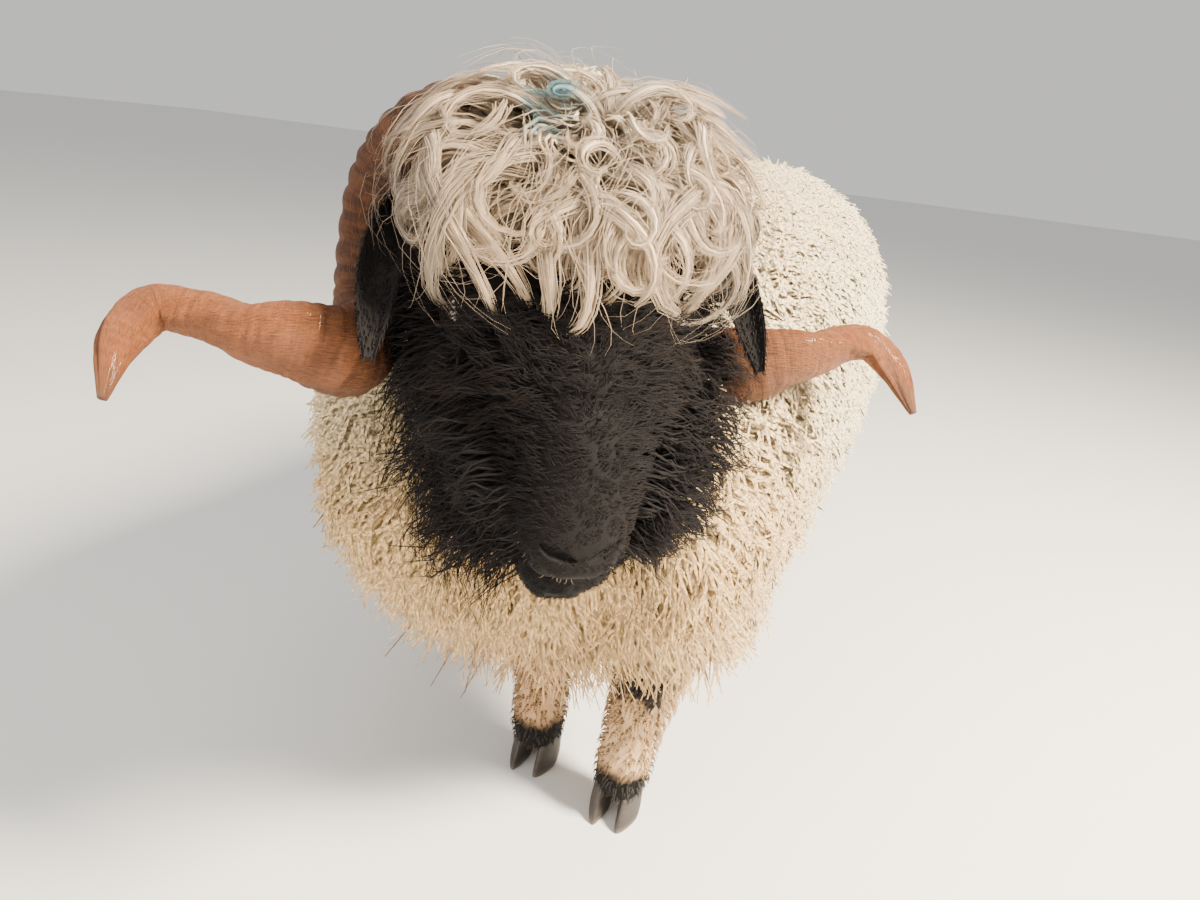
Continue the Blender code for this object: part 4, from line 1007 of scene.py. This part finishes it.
# ---------------------------------------------------------------------------------------------------------
# The forelock: long greyish cream locks that fall from the crown on all sides and roll up at their tips,
# with finer loose hairs between them and a faded blue mark on the right of the crown.
CROWN = unit(np.array((0.0, 0.72, 0.70)))
LOCK_WEIGHT = np.array((0.0, -0.82, -0.57))  # the way down, in the head's frame
GOLDEN_TURN = 2.39996
USUAL_SPAN = 0.095
LOCK_PALE, LOCK_DEEP, LOCK_STAIN = (0.97, 0.76, 0.54), (0.88, 0.64, 0.42), (0.54, 0.40, 0.30)
LOCK_GREY, MARK_BLUE = (0.22, 0.19, 0.17), (0.022, 0.19, 0.25)
MARK_PLACE, MARK_REACH = Vector((-0.036, -0.012, 0.100)), (0.032, 0.033, 0.042)
lock_finish = wool_finish("forelock", LOCK_PALE, LOCK_DEEP, LOCK_STAIN, 0.56, 0.50, marks=False)
where = lock_finish.place()
plain = Value(lock_finish, lock_finish.shader.inputs["Base Color"].links[0].from_socket)
edge = lock_finish.away(where, head_turn @ Vector((0.010, -0.050, 0.050)) + SHIFT, (0.135, 0.135, 0.135))
greyer = (edge + (lock_finish.noise(where, 30.0, 2.0) - 0.5) * 0.5).between(0.80, 1.10) * 0.58
plain = lock_finish.mix(greyer, plain, LOCK_GREY)
blue = lock_finish.away(where, head_turn @ MARK_PLACE + SHIFT, MARK_REACH)
blue = (blue + (lock_finish.noise(where, 60.0, 3.0) - 0.5) * 1.1).between(1.0, 0.40) * 0.92
lock_finish.colour(lock_finish.mix(blue, plain, MARK_BLUE))


def on_forelock(ways, sink):
    """Places on the forelock's oval, this far under its tips, and the ways out of it."""
    reach = FORELOCK_REACH - np.asarray(sink)[..., None]
    r = 1.0 / np.linalg.norm(ways / reach, axis=-1, keepdims=True)
    return FORELOCK_CENTRE + ways * r, unit(ways * r / reach**2)


def curled_locks(count, seed, length, depth, bends, tightness, steps=10, fan=False):
    """Locks that slide down the oval under their weight and roll up sideways toward their tips."""
    rng = np.random.default_rng(seed)
    k = np.arange(count)
    start = np.radians(3.0 + 84.0 * ((k + 0.5) / count) ** 0.60) + rng.normal(0, 0.06, count)
    turn = k * GOLDEN_TURN + rng.uniform(-0.6, 0.6, count)
    side = np.array((1.0, 0.0, 0.0))
    front = np.cross(side, CROWN)
    level = side * np.cos(turn)[:, None] + front * np.sin(turn)[:, None]
    way = CROWN * np.cos(start)[:, None] + level * np.sin(start)[:, None]
    fringe = (way @ LOCK_WEIGHT > 0.30) & (rng.random(count) < 0.35)
    bend = rng.choice((-1.0, 1.0), count) * rng.uniform(*bends, count) * np.where(fringe, 0.30, 1.0)
    if fan:
        start, turn = np.radians(rng.uniform(62, 82, count)), np.radians(90 - np.linspace(-96, 96, count))
        way = CROWN * np.cos(start)[:, None] + side * (np.cos(turn) * np.sin(start))[:, None]
        way = way + front * (np.sin(turn) * np.sin(start))[:, None]
        bend = np.sign(way[:, 0]) * rng.choice((-1.0, 1.0), count, p=(0.2, 0.8)) * rng.uniform(*bends, count)
        fringe[:] = False
    span = rng.uniform(*length, count) * np.where(fringe, 1.30, 1.0) / USUAL_SPAN
    span = span * (1.0 + 0.32 * np.abs(np.linspace(-1, 1, count))) if fan else span
    heading = rng.normal(0, 0.5, count) * np.where(fringe, 0.6, 1.0) - 0.35 * bend
    deep = rng.uniform(*depth, count) + 0.009 * np.sin(way @ (31.0, 17.0, 9.0) + seed)
    bow = rng.uniform(0.004, 0.018, count)
    loose = rng.choice((0.0, 0.010, 0.022), count, p=(0.5, 0.3, 0.2))
    places, ways = [], []
    for i in range(steps + 1):
        t = i / steps
        lift = deep + 0.022 * (1 - t) ** 5 + bow * (2 * t - 1) ** 2 - loose * t**3
        place, out = on_forelock(way, lift)
        places.append(place)
        ways.append(out)
        hang = LOCK_WEIGHT - way * (way @ LOCK_WEIGHT)[:, None]
        fall = unit(0.75 * hang + 0.55 * unit(way * (way @ CROWN)[:, None] - CROWN))
        aside = np.cross(way, fall)
        angle = (heading + bend * (t + 0.5 / steps) ** tightness)[:, None]
        way = unit(way + (fall * np.cos(angle) + aside * np.sin(angle)) * (span / steps)[:, None])
    return np.stack(places, axis=1), np.stack(ways, axis=1)


def fibres_of(path, ways, strands, spread, seed, stray=0.0):
    """Fine strands that run along each lock and close up toward its tip."""
    rng = np.random.default_rng(seed)
    count, steps = path.shape[:2]
    along = unit(np.gradient(path, axis=1))
    across = unit(np.cross(along, ways))
    up = np.cross(across, along)
    t = np.linspace(0, 1, steps)[None, None, :, None]
    angle = rng.uniform(0, math.tau, (count, strands, 1, 1)) + rng.choice((-1, 1), (count, 1, 1, 1)) * 1.6 * t
    radius = spread * np.sqrt(rng.uniform(0.22, 1.0, (count, strands, 1, 1))) * (1.0 - 0.80 * t**1.6 + stray * t)
    radius = radius * rng.uniform(0.75, 1.25, (count, 1, 1, 1))
    wave = rng.uniform(0, math.tau, (2, count, strands, 1, 1)) + rng.uniform(4.0, 11.0, (2, count, strands, 1, 1)) * t
    frizz = rng.uniform(0.03, 1.0, (count, strands, 1, 1)) ** 2 * 0.0038 * t**0.7 * (1.0 + 2.0 * stray)
    lines = path[:, None] + (across[:, None] * np.cos(angle) + up[:, None] * np.sin(angle) * 0.5) * radius
    lines = lines + (across[:, None] * np.sin(wave[0]) + up[:, None] * np.sin(wave[1])) * frizz
    outs = np.repeat(ways[:, None], strands, axis=1)
    return lines.reshape(-1, steps, 3), outs.reshape(-1, steps, 3)


def on_the_ram(lines, outs):
    """Lines and ways out taken from the head's frame to the ram's, and the nearest places on the hide's map."""
    lines = head_way(lines) + np.array(POLL + SHIFT)
    found = [hide_tree.find_nearest(Vector(p))[2] for p in lines[:, 0]]
    return lines, head_way(outs), map_places[loops[found]].mean(axis=1)


locks = []
for name, count, seed, length, depth, bends, tightness, spread, strands, width, steps in (
    ("underlocks", 110, 51, (0.050, 0.080), (0.018, 0.030), (1.0, 2.6), 1.4, 0.0120, 5, 0.0044, 7),
    ("locks", 84, 52, (0.065, 0.105), (0.003, 0.014), (2.0, 4.0), 1.7, 0.0088, 22, 0.0010, 11),
    ("curls", 74, 54, (0.065, 0.100), (-0.002, 0.010), (3.2, 5.8), 1.8, 0.0070, 19, 0.0009, 13),
    ("fringe_locks", 24, 55, (0.095, 0.130), (-0.003, 0.008), (1.2, 3.4), 2.6, 0.0105, 30, 0.0010, 12),
    ("loose_hairs", 420, 53, (0.050, 0.120), (-0.012, 0.012), (0.6, 5.0), 1.5, 0.0110, 2, 0.0006, 9),
):
    fan = name == "fringe_locks"
    path, ways = curled_locks(count, seed, length, depth, bends, tightness, steps, fan)
    lines, outs = fibres_of(path, ways, strands, spread, seed + 10, 0.5 if name == "loose_hairs" else 0.0)
    lines, outs, on_map = on_the_ram(lines, outs)
    locks += wool(name, lines, outs, width, on_map, lock_finish, blunt=0.2)
    if name in ("locks", "curls", "fringe_locks"):
        lines, outs, on_map = on_the_ram(path, ways)
        core = spread * 0.80
        locks += wool(f"{name}_cores", lines, outs, core, on_map, lock_finish, 6, 0.42, 0.08)
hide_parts("forelock")

# ---------------------------------------------------------------------------------------------------------
# The eyes: wet balls, set deep in the hide's sockets, with a dark amber iris, the level slit of a sheep's
# pupil and a clear bulge over the two.
BULGE_HEIGHT, BULGE_SPREAD = 0.0009, 0.42
PUPIL_WIDE, PUPIL_TALL = 0.40, 0.15  # half of each, in radii of the eye
IRIS_DARK, IRIS_AMBER, IRIS_RIM = (0.034, 0.015, 0.006), (0.078, 0.038, 0.014), (0.020, 0.010, 0.006)
PUPIL_BLACK = (0.003, 0.003, 0.004)
for side, word in ((1, "left"), (-1, "right")):
    centre, out = eye_place(side)
    long_way = (Vector((0.0, 1.0, 0.0)) - out * out.y).normalized()
    high_way = out.cross(long_way)
    made = ball(EYE_RADIUS, 48, 32)
    wide, tall = (made.verts.layers.float.new(key) for key in ("wide", "tall"))
    for vertex in made.verts:
        x, y, z = vertex.co / EYE_RADIUS
        bulge = BULGE_HEIGHT * max(0.0, 1.0 - (x * x + y * y) / BULGE_SPREAD) if z > 0 else 0.0
        vertex[wide], vertex[tall] = x, y if z > 0 else 2.0
        vertex.co = centre + (long_way * x + high_way * y + out * z) * (EYE_RADIUS + bulge)
    made.transform(Matrix.Translation(SHIFT) @ head_turn)
    bmesh.ops.recalc_face_normals(made, faces=made.faces)
    eye_finish = Finish(f"eye_{word}", 0.06, Coat_Weight=1.0, Coat_Roughness=0.03)
    x, y = eye_finish.attribute("wide"), eye_finish.attribute("tall")
    around = (x * x + y * y) ** 0.5
    fibres = eye_finish.noise(eye_finish.vector(x / around, y / around, around * 0.3), 9.0, 3.0)
    iris = eye_finish.mix(fibres.between(0.35, 0.65), IRIS_DARK, IRIS_AMBER)
    iris = eye_finish.mix(around.between(0.50, 0.66), iris, IRIS_RIM)
    slit = ((x / PUPIL_WIDE) ** 2.0 + (y / PUPIL_TALL) ** 2.0).between(1.15, 0.85)
    eye_finish.colour(eye_finish.mix(slit, iris, PUPIL_BLACK))
    eyeball = item(f"eyeball_{word}", made, eye_finish)
    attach(eyeball, "root")
    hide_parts(f"eye_{word}")

# ---------------------------------------------------------------------------------------------------------
# The horns: hollow sheaths of brown horn that sweep round the ears and leave to the sides in an open
# corkscrew, ridged across on the arc and grained along their length toward the tips.
HORN = (
    ((0.030, 0.006, 0.002), 0.031, 0),
    ((0.060, 0.024, -0.006), 0.035, 0),
    ((0.092, 0.024, -0.032), 0.037, 5),
    ((0.116, 0.004, -0.070), 0.036, 10),
    ((0.128, -0.042, -0.102), 0.035, 20),
    ((0.136, -0.092, -0.108), 0.034, 35),
    ((0.146, -0.128, -0.084), 0.033, 55),
    ((0.166, -0.141, -0.054), 0.031, 80),
    ((0.194, -0.139, -0.041), 0.028, 100),
    ((0.222, -0.134, -0.042), 0.025, 125),
    ((0.251, -0.122, -0.042), 0.022, 155),
    ((0.280, -0.121, -0.040), 0.018, 185),
    ((0.298, -0.147, -0.035), 0.013, 215),
    ((0.303, -0.188, -0.026), 0.003, 240),
)
HORN_RINGS, HORN_SIDES, THINNEST = 230, 44, 0.0022
RIDGE_PACE, RIDGE_HEIGHT = 3.1, 0.0026  # ridges for each step of the table, and how far they stand up
HORN_DARK, HORN_BROWN, HORN_GRAIN = (0.026, 0.011, 0.006), (0.120, 0.048, 0.021), (0.24, 0.085, 0.031)
HORN_PALE, HORN_CREVICE, HORN_TIP = (0.42, 0.128, 0.034), (0.060, 0.024, 0.012), (0.16, 0.09, 0.06)
horn_finish = Finish("horn", 0.5, Coat_Weight=0.03, Specular_IOR_Level=0.25)
along, round_x, round_y = (horn_finish.attribute(key) for key in ("along", "round_x", "round_y"))
fibres = horn_finish.noise(horn_finish.vector(round_x * 3.4, round_y * 3.4, along * 0.55), 10.0, 4.0, 0.65)
bands = horn_finish.noise(horn_finish.vector(round_x * 0.35, round_y * 0.35, along * 3.6), 2.2, 3.0, 0.6)
worn = horn_finish.noise(horn_finish.place(), 26.0, 3.0)
colour = horn_finish.mix(bands.between(0.35, 0.68), HORN_DARK, HORN_BROWN)
colour = horn_finish.mix(fibres.between(0.46, 0.68) * 0.42, colour, HORN_GRAIN)
paler = along.between(5.0, 9.5) * 0.42 + worn.between(0.55, 0.75) * 0.10
colour = horn_finish.mix(paler, colour, HORN_PALE)
colour = horn_finish.mix(fibres.between(0.50, 0.34) * 0.80, colour, HORN_CREVICE)
horn_finish.colour(horn_finish.mix(along.between(12.3, 13.2) * 0.6, colour, HORN_TIP))
horn_finish.set(horn_finish.shader.inputs["Roughness"], 0.40 + 0.30 * bands)
horn_finish.bump(fibres * 0.8 + bands * 0.6, 0.0030, 1.0)

for side, word in ((1, "left"), (-1, "right")):
    rows = [(*mirrored(centre, side), radius, twist * side) for centre, radius, twist in HORN]
    last = len(rows) - 1
    stations, across = [], Vector((0.0, 0.0, 1.0))
    for k in range(HORN_RINGS + 1):
        u = last * k / HORN_RINGS
        x, y, z, radius, twist = spline(rows, u)
        way = line_way(rows, u)
        across = (across - way * across.dot(way)).normalized()
        turn = Matrix.Rotation(math.radians(twist), 3, way)
        stations.append((Vector((x, y, z)), turn @ across, turn @ way.cross(across), max(radius, THINNEST)))

    def horn_shape(u, angle):
        middle, wide, thin, radius = stations[min(int(round(u * HORN_RINGS / last)), HORN_RINGS)]
        beat = u * RIDGE_PACE + 0.35 * math.sin(u * 2.3) + 0.16 * math.sin(angle * 2 + u)
        ridge = (abs(math.sin(math.pi * beat)) ** 0.7 - 0.6) * RIDGE_HEIGHT * min(u, 1.0)
        ridge *= min(max((9.5 - u) / 5.0, 0.25), 1.0)
        groove = 0.0009 * math.sin(5 * angle + 0.8 * u) + 0.0007 * math.sin(9 * angle - 0.5 * u + math.sin(u))
        groove *= min(max((u - 4.0) / 3.0, 0.2), 1.0)
        keel = 1.0 + 0.10 * max(math.cos(angle), 0.0) ** 3
        size = radius + (ridge + groove) * min(radius / 0.02, 1.0)
        return middle + (wide * math.cos(angle) * keel + thin * math.sin(angle) * 0.72) * size

    made = sleeve(horn_shape, last, HORN_RINGS, HORN_SIDES)
    made.transform(Matrix.Translation(SHIFT) @ head_turn)
    horn = item(f"sheath_{word}", made, horn_finish)
    turned = read(horn.data.attributes["turned"].data, "value", 1).ravel()
    marked(horn.data, "round_x", np.cos(turned))
    marked(horn.data, "round_y", np.sin(turned))
    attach(horn, "root")
    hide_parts(f"horn_{word}")

# ---------------------------------------------------------------------------------------------------------
# The hooves: two claws on each foot, of black horn with growth rings, worn pale at the rim. Each is a short
# oval cone, flat toward its neighbour.
SOLE = (  # height, half width, half length, shift
    (0.0, 0.0150, 0.0330, -0.006),
    (0.002, 0.0163, 0.0346, -0.0055),
    (0.012, 0.0170, 0.0340, -0.003),
    (0.026, 0.0163, 0.0305, 0.001),
    (0.040, 0.0156, 0.0275, 0.0035),
    (0.050, 0.0150, 0.0255, 0.0045),
)
CLAW_ASIDE = 0.0155
HOOF_BLACK, HOOF_GREY, HOOF_WORN = (0.014, 0.012, 0.011), (0.060, 0.050, 0.042), (0.22, 0.16, 0.11)
hoof_finish = Finish("hoof", 0.5)
where = hoof_finish.place()
parts = hoof_finish.parts(where)
rings_up = hoof_finish.vector(parts["X"] * 8.0, parts["Y"] * 8.0, parts["Z"] * 260.0)
grown = hoof_finish.noise(rings_up, 1.0, 3.0, 0.6)
grit = hoof_finish.noise(where, 160.0, 4.0, 0.7)
colour = hoof_finish.mix(grown, HOOF_BLACK, HOOF_GREY)
worn_rim = parts["Z"].between(0.009, 0.001) * 0.5 + grit.between(0.55, 0.75) * 0.3
hoof_finish.colour(hoof_finish.mix(worn_rim, colour, HOOF_WORN))
hoof_finish.set(hoof_finish.shader.inputs["Roughness"], 0.42 + 0.3 * grit)
hoof_finish.bump(grown + grit * 0.3, 0.0008, 0.8)

for kind, side in STRIDE:
    foot = leg_tube(kind, side).rows[-1]
    leg_word = "left" if side > 0 else "right"
    for inner, claw in ((side, "outer"), (-side, "inner")):

        def claw_shape(u, angle):
            z, width, length, shift = spline(SOLE, u)
            x, y = math.cos(angle), math.sin(angle)
            toe = 1.0 - 0.35 * max(-y, 0.0)
            flat = 0.55 if x * -inner > 0 else 1.0
            across = x * width * toe * flat + inner * CLAW_ASIDE
            return Vector((across + foot[0], y * length + shift + foot[1], z)) + SHIFT

        hoof = item(f"claw_{kind}_{leg_word}_{claw}", sleeve(claw_shape, len(SOLE) - 1, 30, 40), hoof_finish)
        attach(hoof, "root")
        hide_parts(f"hoof_{kind}_{leg_word}_{claw}")
